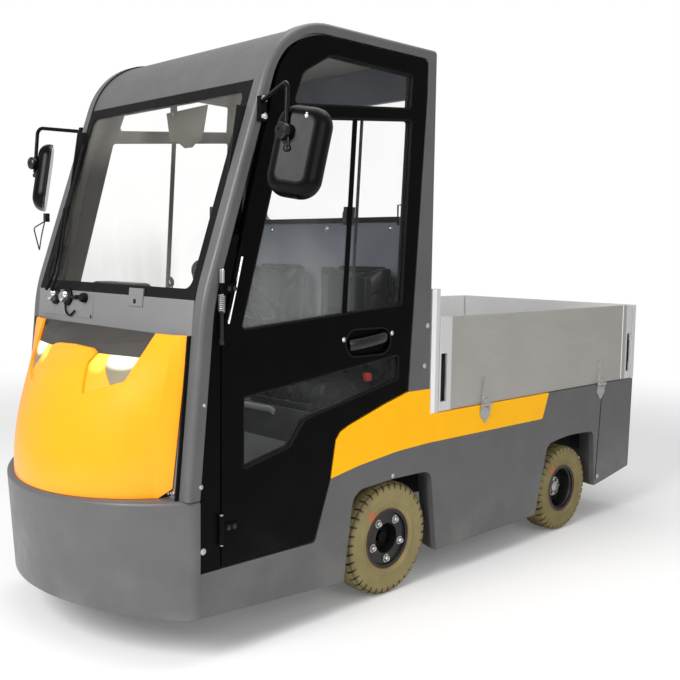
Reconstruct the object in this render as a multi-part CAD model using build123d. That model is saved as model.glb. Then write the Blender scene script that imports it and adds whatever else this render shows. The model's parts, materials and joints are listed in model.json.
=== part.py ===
from build123d import *
import math
import os

os.makedirs("parts", exist_ok=True)

# Electric platform tractor for airport baggage, millimetres.
# X runs to the vehicle's left, the front faces -Y, Z is up, and the ground is Z = 0.

# Whole vehicle
body_half_width = 535.0
front_y = -1457.0
rear_y = 1438.0
skin = 25.0
seam = 5.0
fit_gap = 0.3
sheet = 8.0

# Wheels and steering
front_axle_y = -320.0
wheelbase = 1170.0
rear_axle_y = front_axle_y + wheelbase
tyre_outer_x = 520.0
front_tyre_radius = 209.0
front_tyre_width = 106.0
front_rim_radius = 110.0
rear_tyre_radius = 192.5
rear_tyre_width = 114.0
rear_rim_radius = 104.0
kingpin_x = 372.0
kingpin_radius = 14.0
nut_circle = 76.0
nut_radius = 10.0
hub_recess_radius = 56.0

# Nose and side panels
bumper_top = 512.0
bumper_bottom = 148.0
bumper_end_y = -1168.0
bumper_straight = 4.0
bumper_corner = 45.0
bumper_lip = 12.0
bumper_wall = 30.0
bumper_ledge = 55.0
bumper_lean = 30.0
bumper_fall = 14.0
bumper_rise = 16.0
sill_top = 286.0
sill_front_bottom = 148.0
sill_rear_bottom = 112.0
deck_z = 650.0
rear_panel_y = 1155.0
arch_clearance = 14.0
arch_height = 2 * front_tyre_radius + arch_clearance
arch_return = 65.0
arch_wall = 5.0
arch_splay = 24.0

# Cab
pillar_width = 45.0
pillar_round = 14.0
roof_z = 1980.0
roof_corner = 290.0
cab_rear_y = -120.0
roof_rail = 36.0
pillar_foot_y = -1214.0
cowl_top_y = -1158.0
cowl_top_z = 1105.0
visor_drop = 204.0
screen_lean = 18.38
door_front_y = -1090.0
door_rear_y = -173.0
door_thickness = 30.0
glass = 5.0
glass_inset = 7.0
window_sill = 1011.0
handle_z = 943.0

# Hinges of the doors and boards
hinge_proud = 10.0
hinge_barrel = 7.0
hinge_clearance = 0.3
board_hinge_length = 30.0
door_hinge_y = -1098.0

# Load bed
board_thickness = 28.0
board_top = 1012.0
board_gap = 5.0
post_y = -72.0
post_top = 1120.0
deck_thickness = 30.0


def corner_arc(before, corner, after, radius):
    """Entry, middle and exit points of a round corner."""
    back = (before - corner).normalized()
    ahead = (after - corner).normalized()
    half = math.acos(max(-1.0, min(1.0, back.dot(ahead)))) / 2
    reach = radius / math.tan(half)
    middle = corner + (back + ahead).normalized() * (radius / math.sin(half) - radius)
    return corner + back * reach, middle, corner + ahead * reach


def outline(corners):
    """Closed face through corners given as (a, b) or (a, b, corner radius)."""
    points = [Vector(c[0], c[1]) for c in corners]
    radii = [c[2] if len(c) > 2 else 0 for c in corners]
    count = len(points)
    stops = []
    for i, point in enumerate(points):
        if radii[i]:
            stops.append(corner_arc(points[i - 1], point, points[(i + 1) % count], radii[i]))
        else:
            stops.append((point, None, point))
    edges = []
    for i, (entry, middle, leave) in enumerate(stops):
        if middle is not None:
            edges.append(ThreePointArc(entry, middle, leave))
        following = stops[(i + 1) % count][0]
        if (following - leave).length > 1e-6:
            edges.append(Line(leave, following))
    return make_face(edges)


def offset_line(corners, gap):
    """Open line of corners moved sideways by a gap, to the left of its direction."""
    points = [Vector(c[0], c[1]) for c in corners]
    moved = []
    for i, point in enumerate(points):
        runs = []
        if i > 0:
            runs.append((point - points[i - 1]).normalized())
        if i < len(points) - 1:
            runs.append((points[i + 1] - point).normalized())
        normals = [Vector(-r.Y, r.X) for r in runs]
        mean = (normals[0] + normals[-1]).normalized()
        shift = mean * (gap / mean.dot(normals[0]))
        bend = runs[0].X * runs[-1].Y - runs[0].Y * runs[-1].X
        radius = corners[i][2] if len(corners[i]) > 2 else 0
        if radius:
            radius -= gap * math.copysign(1, bend)
        moved.append((point.X + shift.X, point.Y + shift.Y, radius))
    return moved


def across(corners, x0, x1):
    """Solid of a side-view outline in (Y, Z), from x0 to x1."""
    return extrude(Plane.YZ.offset(x0) * outline(corners), x1 - x0)


def along(corners, y0, y1):
    """Solid of a front-view outline in (X, Z), from y0 to y1."""
    return extrude(Plane.XZ.offset(-y1) * outline(corners), y1 - y0)


def block(x0, x1, y0, y1, z0, z1):
    """Box between two corners."""
    return Pos((x0 + x1) / 2, (y0 + y1) / 2, (z0 + z1) / 2) * Box(x1 - x0, y1 - y0, z1 - z0)


def rod_x(x0, x1, y, z, radius):
    """Round bar along X."""
    return Pos((x0 + x1) / 2, y, z) * Rot(0, 90, 0) * Cylinder(radius, x1 - x0)


def rod_y(x, y0, y1, z, radius):
    """Round bar along Y."""
    return Pos(x, (y0 + y1) / 2, z) * Rot(90, 0, 0) * Cylinder(radius, y1 - y0)


def rod_z(x, y, z0, z1, radius):
    """Round bar along Z."""
    return Pos(x, y, (z0 + z1) / 2) * Cylinder(radius, z1 - z0)


def both(shape):
    """The shape and its mirror image on the other side."""
    return Compound(children=[shape, mirror(shape, about=Plane.YZ)])


def save(shape, name):
    """Write one piece."""
    export_step(shape, f"parts/{name}.step")


def save_pair(shape, name):
    """Write the left piece and the right one, which is its mirror image."""
    save(shape, f"{name}_left")
    save(mirror(shape, about=Plane.YZ), f"{name}_right")


# Lines that several pieces share, seen from the side as (Y, Z)
arch_half_front = 245.0
arch_half_rear = 250.0
lean = math.tan(math.radians(screen_lean))
visor_z = roof_z - visor_drop
visor_y = cowl_top_y + (visor_z - cowl_top_z) * lean
roof_turn_y = cowl_top_y + (roof_z - cowl_top_z) * lean
opening_top = roof_z - roof_rail
front_line = [(pillar_foot_y, bumper_top), (cowl_top_y, cowl_top_z), (visor_y, visor_z)]
stripe_rear_y = 641.0
stripe_top = [(-632, 489), (-610, 619, 20), (-590, 643, 30), (-552, 660), (-371, 715, 900)]
opening_rear_foot = (-245, 747)


def front_line_y(z):
    """Y of the nose line at a height below the windscreen."""
    share = (z - bumper_top) / (cowl_top_z - bumper_top)
    return pillar_foot_y + share * (cowl_top_y - pillar_foot_y)


# Front bumper, drawn together towards its foot and towards the front
def bumper_plan(apex_y, inset, end_y):
    """Plan outline of the bumper from its foremost point, drawn in by an inset, back to an end."""
    side_y = bumper_end_y - bumper_straight
    depth = side_y - apex_y
    cx = body_half_width - bumper_corner
    radius = (depth ** 2 + cx ** 2 - bumper_corner ** 2) / (2 * (depth - bumper_corner))
    centre = Vector(0, apex_y + radius)
    away = (Vector(cx, side_y) - centre).normalized()
    turn = (away + Vector(1, 0)).normalized()
    corner = max(bumper_corner - inset, 1.0)
    touch = centre + away * (radius - inset)
    pivot = touch - away * corner
    middle = pivot + turn * corner
    side = pivot + Vector(corner, 0)
    return make_face([
        ThreePointArc((-touch.X, touch.Y), (0, apex_y + inset), (touch.X, touch.Y)),
        ThreePointArc((touch.X, touch.Y), (middle.X, middle.Y), (side.X, side.Y)),
        Line((side.X, side.Y), (side.X, end_y)), Line((side.X, end_y), (-side.X, end_y)),
        Line((-side.X, end_y), (-side.X, side.Y)),
        ThreePointArc((-side.X, side.Y), (-middle.X, middle.Y), (-touch.X, touch.Y)),
    ])


def bumper_body(inset, end_y, low, high):
    """Body of the bumper's plan between two heights, leaning in at the foot."""
    share = (low - bumper_bottom) / (bumper_top - bumper_bottom)
    foot = bumper_plan(front_y + bumper_lean * (1 - share), inset, end_y)
    return loft([Plane.XY.offset(low) * foot, Plane.XY.offset(high) * bumper_plan(front_y, inset, end_y)],
                ruled=True)


def top_cut(gap):
    """Everything above the bumper's falling top edge, from a gap over it."""
    high = bumper_top + gap
    reach = body_half_width + seam
    return across([(pillar_foot_y + 60, high), (pillar_foot_y, high), (front_y - seam, high - bumper_fall),
                   (front_y - seam, cowl_top_z), (pillar_foot_y + 60, cowl_top_z)], -reach, reach)


bumper = bumper_body(0, bumper_end_y, bumper_bottom, bumper_top) - top_cut(0)
bumper -= across([(front_y - seam, bumper_bottom - 1), (pillar_foot_y, bumper_bottom - 1),
                  (pillar_foot_y, bumper_bottom), (front_y - seam, bumper_bottom + bumper_rise)],
                 -body_half_width - seam, body_half_width + seam)
rim = [e for e in bumper.edges() if e.center().Z > bumper_top - bumper_fall - 1
       and e.center().Y < bumper_end_y - 1 and abs((e % 0.5).Z) < 0.5
       and not (abs(e.center().X) < 1 and abs(e.center().Y - pillar_foot_y) < 1)]
bumper = fillet(rim, bumper_lip)
hollow = bumper_body(bumper_wall, bumper_end_y + 60, bumper_bottom, bumper_top) - top_cut(-20)
well = bumper_body(bumper_wall + bumper_ledge, bumper_end_y + 60, bumper_bottom, bumper_top)
bumper = bumper - hollow - well
save(bumper, "front_bumper")

# Side panels, with the yellow stripe as a panel of its own
sill_start = bumper_end_y
front_arch = [
    (front_axle_y - arch_half_front, sill_rear_bottom),
    (front_axle_y - arch_half_front + 44, arch_height - 8, 60),
    (front_axle_y, arch_height + 4, 900),
    (front_axle_y + arch_half_front - 32, arch_height, 45),
    (front_axle_y + arch_half_front + 10, sill_rear_bottom),
]
rear_arch = [
    (rear_axle_y - arch_half_rear + 8, sill_rear_bottom + 6),
    (rear_axle_y - arch_half_rear + 90, arch_height - 12, 45),
    (rear_axle_y, arch_height + 8, 900),
    (rear_axle_y + arch_half_rear - 25, arch_height - 2, 35),
    (rear_axle_y + arch_half_rear, 165),
]
panel_low = [(sill_start, sill_front_bottom)] + front_arch + rear_arch
panel = across(panel_low + [
    (rear_panel_y, 172), (rear_panel_y, deck_z), (cab_rear_y, deck_z),
    (cab_rear_y, opening_rear_foot[1]), opening_rear_foot]
    + stripe_top[::-1] + [(-703, 283, 12), (sill_start, sill_top)],
    body_half_width - skin, body_half_width)
stripe_lower = [(stripe_rear_y + 45, deck_z + 1), (stripe_rear_y, 540, 12), (-125, 541, 900),
                (-302, 534, 900), (-501, 512)]
stripe_shape = across(stripe_top + [opening_rear_foot, (cab_rear_y + 1, 747), (cab_rear_y + 1, deck_z + 1)]
                      + stripe_lower, body_half_width - skin, body_half_width)
stripe = panel & stripe_shape
panel = panel - stripe_shape
save_pair(panel, "side_panel")
save_pair(stripe, "stripe_panel")

# Inner returns of the wheel arches, splayed so that the steered tyres clear them
def splayed(arch, axle_y, shift):
    """Arch line with its two sides moved away from the axle."""
    return [(y + math.copysign(shift, y - axle_y) if abs(y - axle_y) > arch_half_front / 2 else y, *rest)
            for y, *rest in arch]


returns = []
for arch, axle_y in ((front_arch, front_axle_y), (rear_arch, rear_axle_y)):
    sections = []
    for x, shift in ((body_half_width - skin - arch_return, arch_splay), (body_half_width - skin, 0)):
        line = splayed(arch, axle_y, shift)
        sections.append(Plane.YZ.offset(x) * outline(line + offset_line(line, arch_wall)[::-1]))
    returns.append(loft(sections, ruled=True))
save(Compound(children=[both(r) for r in returns]), "arch_returns")

# Rear corner panels joined by the end wall, with a pocket for the coupling
tail_low = [(rear_panel_y, 172), (1192, 177), (rear_y - 20, 212, 10), (rear_y - 8, deck_z),
            (rear_panel_y, deck_z)]
tail = across(tail_low, -body_half_width, body_half_width)
inside = across([(rear_panel_y - 1, 150), (rear_y - 8 - skin, 150), (rear_y - 8 - skin, deck_z + 1),
                 (rear_panel_y - 1, deck_z + 1)], -(body_half_width - skin), body_half_width - skin)
tail = tail - inside
pocket_half = 110.0
pocket_high = 470.0
tail = tail - block(-pocket_half, pocket_half, rear_y - 60, rear_y + 10, 0, pocket_high)
save(tail, "rear_panel")

# Seat box, over the front wheels
seat_box_y0, seat_box_y1 = -590.0, -160.0
seat_box_low, seat_box_top = arch_height + 16.0, 690.0
seat_box_half = body_half_width - skin - 10
seat_box = block(-seat_box_half, seat_box_half, seat_box_y0, seat_box_y1, seat_box_low, seat_box_top)
riser = block(-seat_box_half, seat_box_half, seat_box_y0 - 10, seat_box_y0, sill_top, seat_box_top)
save(seat_box + riser, "seat_box")

# Frame of two long plates and their cross plates, with the floor of the battery well
frame_x = 270.0
frame_low = 262.0
frame_top = deck_z - deck_thickness
frame_front_y = -1170.0
frame_rear_y = rear_y - 8 - skin
rail = across([(frame_front_y, frame_low), (frame_rear_y, frame_low), (frame_rear_y, frame_top),
               (cab_rear_y, frame_top), (cab_rear_y, seat_box_low), (seat_box_y0, seat_box_low),
               (seat_box_y0, sill_top - sheet), (frame_front_y, sill_top - sheet)], frame_x - sheet, frame_x)
frame = rail + mirror(rail, about=Plane.YZ)
cross_ys = [-1160.0, -600.0, cab_rear_y, 560.0, 1150.0]
cross_tops = [sill_top - sheet, sill_top - sheet, seat_box_low, frame_top, frame_top]
for y, top in zip(cross_ys, cross_tops):
    frame += block(-frame_x, frame_x, y, y + sheet, frame_low, top)
frame += block(-frame_x, frame_x, cross_ys[2], cross_ys[3] + sheet, frame_low - sheet, frame_low)
save(frame, "chassis_frame")

# Cab floor, with the front bulkhead foot
floor = block(-(body_half_width - skin), body_half_width - skin, bumper_end_y, -600,
              sill_top - sheet, sill_top)
save(floor, "cab_floor")

# Battery block and drive
battery = block(-frame_x + sheet + 12, frame_x - sheet - 12, cab_rear_y + 30, 540, frame_low, 600)
save(battery, "battery_block")

# Seats
seat_side_gap, seat_middle_gap = 95.0, 40.0
seat_half = (body_half_width - seat_side_gap - seat_middle_gap) / 2
seat_x = seat_middle_gap + seat_half
cushion_front_y, cushion_rear_y, cushion_thick = -600.0, -200.0, 90.0
back_half, back_tall, back_thick, back_rear_y = 190.0, 430.0, 90.0, -190.0
cushion_round, back_round = 30.0, 40.0
cushion = block(seat_x - seat_half, seat_x + seat_half, cushion_front_y, cushion_rear_y,
                seat_box_top, seat_box_top + cushion_thick)
cushion = fillet(cushion.edges(), cushion_round)
save(both(cushion), "seat_cushions")
back_low = seat_box_top + cushion_thick + fit_gap
back = block(seat_x - back_half, seat_x + back_half, back_rear_y - back_thick, back_rear_y,
             back_low, back_low + back_tall)
back = fillet(back.edges().filter_by(Axis.Y).group_by(Axis.Z)[-1], 2 * back_round)
back = fillet(back.faces().group_by(Axis.Y)[-1].edges() + back.faces().group_by(Axis.Y)[0].edges(),
              back_round)
save(both(back), "seat_backs")

# Cab side frames: an arch from the bumper over the door to the bed
frame_inner = body_half_width - pillar_width
door_opening = [
    (-1169, bumper_top), (-1116, 1100, 600), (-846, opening_top, 230), (door_rear_y, opening_top, 20),
    (door_rear_y, 1820, 900), opening_rear_foot,
]
side_body = across(
    front_line[:1] + [(cowl_top_y, cowl_top_z, 600), (roof_turn_y, roof_z, roof_corner),
                      (cab_rear_y, roof_z, 15), (cab_rear_y, opening_rear_foot[1])]
    + [opening_rear_foot, door_opening[0]], frame_inner, body_half_width)
rounded = [e for e in side_body.faces().sort_by(Axis.X)[-1].edges()
           if max((e @ 0).Z, (e @ 1).Z) > opening_rear_foot[1] + 1]
side_frame = fillet(rounded, pillar_round) - across(
    door_opening + [(opening_rear_foot[0], bumper_bottom), (door_opening[0][0], bumper_bottom)],
    frame_inner - 1, body_half_width + 1)
save_pair(side_frame, "cab_side_frame")

# Roof between the side frames
roof_skin = 22.0
roof_low = 6.0
roof_line = [(visor_y, visor_z), (roof_turn_y, roof_z, roof_corner), (cab_rear_y, roof_z)]
roof = across(offset_line(roof_line, -roof_low) + offset_line(roof_line, -roof_low - roof_skin)[::-1],
              -frame_inner, frame_inner)
save(roof, "roof")

# Windscreen with its rubber
screen_foot = Vector(0, cowl_top_y, cowl_top_z)
screen_head = Vector(0, visor_y, visor_z)
screen_up = (screen_head - screen_foot).normalized()
screen_plane = Plane(origin=screen_foot, x_dir=(1, 0, 0), z_dir=Vector(1, 0, 0).cross(screen_up))
screen_height = (screen_head - screen_foot).length - 4
rubber = 34.0
rubber_depth = 16.0


def screen_panel(inset, radius, low, high):
    """Rounded panel in the windscreen's plane."""
    half = frame_inner - inset
    face = outline([(-half, inset, radius), (half, inset, radius), (half, screen_height - inset, radius),
                    (-half, screen_height - inset, radius)])
    return extrude(screen_plane.offset(low) * face, high - low)


seal = screen_panel(0.0, 8, -rubber_depth, 0) - screen_panel(rubber, 30, -rubber_depth - 1, 1)
save(seal, "windscreen_seal")
save(screen_panel(rubber, 30, -11, -5), "windscreen")

# Cowl between the pillars below the windscreen
cowl_wall = 20.0
cowl_back_low = (pillar_foot_y + cowl_wall, bumper_top)
cowl_back_high = (cowl_top_y + cowl_wall * screen_up.Z, cowl_top_z - cowl_wall * screen_up.Y)
cowl = across([front_line[0], front_line[1], cowl_back_high, cowl_back_low], -frame_inner, frame_inner)
save(cowl, "cowl_panel")

# Rear wall of the cab, with its window
wall = along([(-frame_inner, deck_z + 40), (frame_inner, deck_z + 40), (frame_inner, roof_z - 30),
              (-frame_inner, roof_z - 30)], cab_rear_y - 25, cab_rear_y)
window_low, window_high, window_half = 1388.0, roof_z - 160, frame_inner - 60
opening = [(-window_half, window_low, 40), (window_half, window_low, 40),
           (window_half, window_high, 40), (-window_half, window_high, 40)]
wall = wall - along(opening, cab_rear_y - 26, cab_rear_y + 1)
save(wall, "cab_rear_wall")
save(along(opening, cab_rear_y - 15, cab_rear_y - 15 + glass), "rear_glass")

# Hood, a lofted shell open at the back, with a crest between two horns
hood_foot = bumper_top - bumper_fall - 6
hood_top = 1000.0
hood_sections = [  # height, apex Y, crease X, crease Y, side X
    (hood_foot, -1441.0, 414.0, -1252.0, 456.0),
    (760.0, -1396.0, 425.0, -1238.0, 468.0),
    (hood_top, -1238.0, 445.0, -1196.0, 480.0),
]
hood_clear = 3.0
hood_wall = 12.0


def hood_section(height, apex_y, crease_x, crease_y, side_x, inset):
    """One plan section of the hood, drawn in by an inset."""
    back_y = front_line_y(height) - hood_clear
    cx, cy, sx = crease_x - inset, crease_y + inset * 0.6, side_x - inset
    nose = ThreePointArc((-cx, cy), (0, apex_y + inset), (cx, cy))
    rest = Polyline((cx, cy), (sx, back_y), (-sx, back_y), (-cx, cy))
    return Plane.XY.offset(height) * make_face([nose] + list(rest.edges()))


def hood_body(inset):
    """Whole nose inside the hood's outer skin, drawn in by an inset."""
    return loft([hood_section(*row, inset) for row in hood_sections])


crest_z, horn_x, horn_low_x = 943.0, 361.0, 336.0
lamp_top = 926.0
scoop = [(0, hood_top + 1), (0, crest_z), (112, crest_z - 4, 60), (148, lamp_top, 12), (131, 897, 10),
         (172, 806, 8), (311, 856, 14), (320, 882, 20), (horn_low_x, lamp_top), (horn_x, hood_top - 6, 6),
         (horn_x + 2, hood_top + 1)]
scoop_cut = along(scoop, front_y, pillar_foot_y + 60)
skin_shell = hood_body(0) - hood_body(hood_wall)
notch_y, notch_low, notch_high = -1254.0, 499.0, 542.0
foot_notch = across([(notch_y, hood_foot - 1), (notch_y, notch_low), (pillar_foot_y, notch_high),
                     (pillar_foot_y, hood_foot - 1)], hood_sections[0][2] - 14, body_half_width)
hood = (skin_shell & top_cut(fit_gap)) - both(scoop_cut) - both(foot_notch)
save(hood, "hood")

# Dark sloping panel behind the crest, hollow below
panel_inset = hood_wall + fit_gap
panel_front_y = -1289.0
slope = (hood_top - crest_z) / (front_line_y(hood_top) - panel_front_y)


def under_slope(drop, low):
    """Wedge below the sloping line from the crest to the cowl, lowered by a drop."""
    rise = slope * (front_y - panel_front_y)
    back = front_line_y(hood_top) - hood_clear
    wedge = [(front_y, crest_z + rise - drop), (back, hood_top - 1 - drop), (back, low), (front_y, low)]
    return across(wedge, -body_half_width, body_half_width)


panel_wall = 10.0
nose_panel = hood_body(panel_inset) & under_slope(4, lamp_top)
nose_panel -= hood_body(panel_inset + panel_wall) & under_slope(4 + panel_wall, lamp_top - 1)
save(nose_panel, "nose_panel")

# Headlamps and indicators, shaped to the hood and seated in its scoops
lamp_inset, lamp_depth = 9.0, 30.0
lamp_shell = hood_body(lamp_inset) - hood_body(lamp_inset + lamp_depth)
lamp_seam = 2.0
lamp_outline = [(148 + fit_gap, lamp_top - fit_gap), (131 + fit_gap, 897, 10), (172, 806 + fit_gap, 8),
                (311, 856 + fit_gap, 14), (320 - fit_gap, 882, 20),
                (horn_low_x - fit_gap, lamp_top - fit_gap)]
lamp_unit = lamp_shell & along(lamp_outline, front_y, pillar_foot_y)
lens_edge = [(202, lamp_top + 1), (211, 888, 26), (266, 832)]
lens_side = along(lens_edge + [(horn_x, 832), (horn_x, lamp_top + 1)], front_y, pillar_foot_y)
indicator_side = along(offset_line(lens_edge, -lamp_seam) + [(266, 790), (0, 790), (0, lamp_top + 1)],
                       front_y, pillar_foot_y)
save(both(lamp_unit & lens_side), "headlamps")
save(both(lamp_unit & indicator_side), "indicators")

# Black side liners that close the gap between the hood and the pillars
liner_front_y = pillar_foot_y - 12
liner_wall = 6.0
liner = across([(liner_front_y, bumper_top), (pillar_foot_y, bumper_top), (front_line_y(hood_top), hood_top),
                (front_line_y(hood_top) - 12, hood_top)], frame_inner - liner_wall, frame_inner)
save(both(liner), "nose_liners")

# Doors
strip_top_z = 1300.0
strip_recess = 1.0
door_bottom = 292.0


inner = offset_line(door_opening, -seam)
low_edge = offset_line(stripe_top + [opening_rear_foot], seam)
door_outline = [(door_front_y, door_bottom, 6), (door_front_y, 1000, 400)] + inner[2:5] + [
    (low_edge[-1][0] - seam, low_edge[-1][1], 10)] + low_edge[-2::-1] + [(-703 - seam, door_bottom, 12)]
rail_low, rail_high = opening_top - 187, opening_top - 236
arch_rise = opening_top - 68
door_windows = {
    "main": [(-1020, window_sill, 15), (-289, window_sill + 55, 15), (-255, rail_high + 14, 15),
             (-838, rail_high - 40, 25)],
    "top": [(-816, rail_low - 49, 15), (-262, rail_low, 15), (-254, arch_rise, 15), (-655, arch_rise + 8, 80),
            (-775, arch_rise - 61, 60)],
    "low": [(-1007, 580, 10), (-817, 623, 20), (-753, 705, 40), (-300, 799, 15), (-301, 890, 15),
            (-1007, 807, 10)],
}
door = across(door_outline, body_half_width - door_thickness, body_half_width)
panes = []
for window in door_windows.values():
    door = door - across(window, body_half_width - door_thickness - 1, body_half_width + 1)
    panes.append(across(window, body_half_width - glass_inset - glass, body_half_width - glass_inset))

# Upright at the edge of the sliding pane
bar_width, bar_foot_y, bar_head_y = 18.0, -586.0, -547.0
door += across([(bar_foot_y, window_sill + 20), (bar_foot_y + bar_width, window_sill + 20),
                (bar_head_y + bar_width, rail_high - 5), (bar_head_y, rail_high - 5)],
               body_half_width - glass_inset + fit_gap, body_half_width - 1)

# Door handle: an oval dish with a grip bar across it
handle_y, dish_long, dish_tall, dish_deep = -460.0, 222.0, 92.0, 16.0
door -= Pos(body_half_width, handle_y, handle_z) * Rot(0, 90, 0) * extrude(
    Rot(0, 0, 90) * SlotOverall(dish_long, dish_tall), dish_deep, both=True)
grip_thick, grip_tall = 12.0, 24.0
grip = block(body_half_width - dish_deep, body_half_width - dish_deep + grip_thick, handle_y - 85,
             handle_y - 65, handle_z - grip_tall / 2, handle_z + grip_tall / 2)
grip += block(body_half_width - grip_thick + 4, body_half_width + 4, handle_y - 85, handle_y + 75,
              handle_z - grip_tall / 2, handle_z + grip_tall / 2)
grip = fillet(grip.edges().filter_by(Axis.X), 5)
door += grip
door_hinge_x = body_half_width + hinge_proud
door_hinge_z = [410.0, 1140.0]
hinge_length = 90.0
leaf = 4.0
for z in door_hinge_z:
    barrel = rod_z(door_hinge_x, door_hinge_y, z - hinge_length / 6, z + hinge_length / 6, hinge_barrel)
    plate = block(body_half_width, body_half_width + leaf, door_hinge_y, door_front_y + 60,
                  z - hinge_length / 6, z + hinge_length / 6)
    link = block(body_half_width, door_hinge_x, door_hinge_y, door_hinge_y + 6,
                 z - hinge_length / 6, z + hinge_length / 6)
    door = door + plate + barrel + link
save_pair(door, "door")
save_pair(Compound(children=panes), "door_glass")

# Black strip that carries the door hinges
strip = across([(bumper_end_y, sill_top), (door_front_y - seam, sill_top), (door_front_y - seam, 1005, 400),
                (-1025, strip_top_z), (-1080, strip_top_z), (-1140, 1100), (-1190, bumper_top),
                (bumper_end_y, bumper_top)],
               body_half_width - door_thickness, body_half_width - strip_recess)
for z in door_hinge_z:
    for side in (-1, 1):
        low = z + side * hinge_length / 3 - hinge_length / 6 + hinge_clearance
        high = low + hinge_length / 3 - 2 * hinge_clearance
        strip += rod_z(door_hinge_x, door_hinge_y, low, high, hinge_barrel)
        strip += block(body_half_width - 10, door_hinge_x, door_hinge_y - 3, door_hinge_y + 3, low, high)
save_pair(strip - side_frame, "hinge_strip")

# Dashboard, column and steering wheel
def cowl_back_y(z):
    """Y of the cowl's rear face at a height."""
    share = (z - cowl_back_low[1]) / (cowl_back_high[1] - cowl_back_low[1])
    return cowl_back_low[0] + share * (cowl_back_high[0] - cowl_back_low[0])


dash_low, dash_high = 860.0, cowl_top_z - 20
dash_front_y, dash_deep = cowl_back_y(dash_high), 180.0
dash_rear_y = dash_front_y + dash_deep
dash = across([(cowl_back_y(dash_low), dash_low), (dash_front_y, dash_high),
               (dash_rear_y - 55, dash_high + 10, 25), (dash_rear_y, dash_high - 75, 20),
               (dash_rear_y - 10, dash_low + 70, 40), (dash_rear_y - 55, dash_low, 20)],
              -frame_inner, frame_inner)
wheel_centre = Vector(seat_x, -810, 1108)
wheel_hub_drop = 29.0
wheel_radius, wheel_grip = 160.0, 14.0
column_radius, column_length = 30.0, 280.0
column_tilt = 40.0
column_dir = Vector(0, math.sin(math.radians(column_tilt)), math.cos(math.radians(column_tilt)))
column_foot = wheel_centre - column_dir * column_length
column_plane = Plane(origin=column_foot, z_dir=column_dir)
column = extrude(column_plane * Circle(column_radius), column_length - wheel_hub_drop - hinge_clearance)
dash -= extrude(column_plane * Circle(column_radius), column_length)
save(dash, "dashboard")
save(column, "steering_column")
wheel_plane = Plane(origin=wheel_centre, z_dir=column_dir, x_dir=(1, 0, 0))
steering_wheel = wheel_plane * Torus(wheel_radius, wheel_grip)
steering_wheel += wheel_plane * Pos(0, 0, -14) * Cylinder(36, 30)
for turn in (0, 120, 240):
    spoke = Pos(wheel_radius * 0.6, 0, -8) * Box(wheel_radius * 0.9, 24, 10)
    steering_wheel += wheel_plane * Rot(0, 0, turn + 90) * spoke
save(steering_wheel, "steering_wheel")

# Rear lamps
lamp_low_z, lamp_tall, lamp_x, lamp_wide, lamp_thick = 540.0, 80.0, 400.0, 100.0, 6.0
rear_lamp = block(lamp_x, lamp_x + lamp_wide, rear_y - 8, rear_y - 8 + lamp_thick, lamp_low_z,
                  lamp_low_z + lamp_tall)
save(both(rear_lamp), "rear_lamps")

# Mirrors, each a domed shell on a cranked arm
mirror_centre = Vector(759, -982, roof_z - 450)
mirror_turn, mirror_lean, mirror_roll = 30.0, 8.0, -9.0
mirror_wide, mirror_tall, mirror_deep = 160.0, 262.0, 50.0
mirror_round, mirror_dome = 58.0, 42.0
shell = extrude(RectangleRounded(mirror_wide, mirror_tall, mirror_round), mirror_deep)
shell = fillet(shell.faces().sort_by(Axis.Z)[-1].edges(), mirror_dome)
shell = Rot(90 - mirror_lean, 0, 0) * Rot(0, 0, mirror_roll) * shell
shell = Pos(*mirror_centre) * Rot(0, 0, mirror_turn) * shell
arm_radius = 7.0
arm_root = mirror_centre + Vector(body_half_width + 10 - mirror_centre.X, 34, 170)
bracket_half, bracket_thick = 12.0, 16.0
bracket = block(body_half_width, body_half_width + bracket_thick, arm_root.Y - bracket_half,
                arm_root.Y + bracket_half, arm_root.Z - 60, arm_root.Z + 15)
arm_drop = mirror_centre + Vector(0, -58, 0)
arm_path = FilletPolyline(arm_root, arm_drop + Vector(-6, 12, 194), arm_drop + Vector(2, 0, 20), radius=25)
arm = sweep(Plane(origin=arm_root, z_dir=arm_path % 0) * Circle(arm_radius), path=arm_path)
clamp_z = mirror_centre.Z + 55
clamp = rod_y(arm_drop.X, arm_drop.Y - 14, arm_drop.Y + 40, clamp_z, 20)
save(both(shell + arm + clamp + bracket), "mirrors")

# Load bed: deck, headboard with its posts, and three boards that drop
inner_x = body_half_width - 2 - board_thickness
head_rear_y = cab_rear_y + 2 + board_thickness
deck = block(-inner_x, inner_x, head_rear_y, rear_y - board_thickness - 5, deck_z - deck_thickness, deck_z)
save(deck, "bed_deck")
post = block(inner_x, inner_x + board_thickness, cab_rear_y + 2, post_y, deck_z, post_top)
head = block(-inner_x, inner_x, cab_rear_y + 2, head_rear_y, deck_z - deck_thickness, board_top)
save(post + mirror(post, about=Plane.YZ) + head, "headboard")

board_low = deck_z + 3
slot_length, slot_width, slot_depth = 185.0, 36.0, 12.0
slot_z = 782.0
end_profile, face_drop, profile_round = 87.0, 4.0, 3.5
tail_inner_y = rear_y - board_thickness
board_y0, board_y1 = post_y + board_gap, tail_inner_y - board_gap
side_board = block(inner_x, inner_x + board_thickness, board_y0, board_y1, board_low, board_top)
outer_x = inner_x + board_thickness
side_board -= block(outer_x - face_drop, outer_x + 1, board_y0 + end_profile, board_y1 - end_profile,
                    board_low - 1, board_top + 1)
side_board = fillet(side_board.edges().filter_by(Axis.Z).group_by(Axis.X)[-1], profile_round)
for y in (board_y0 + 26, board_y1 - 26):
    side_board -= block(outer_x - slot_depth, outer_x + 1, y - slot_width / 2, y + slot_width / 2,
                        slot_z - slot_length / 2, slot_z + slot_length / 2)
bed_hinge_x = outer_x + hinge_proud
strap_foot, strap_head, strap_high = board_hinge_length / 2, 10.0, 758.0
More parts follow.
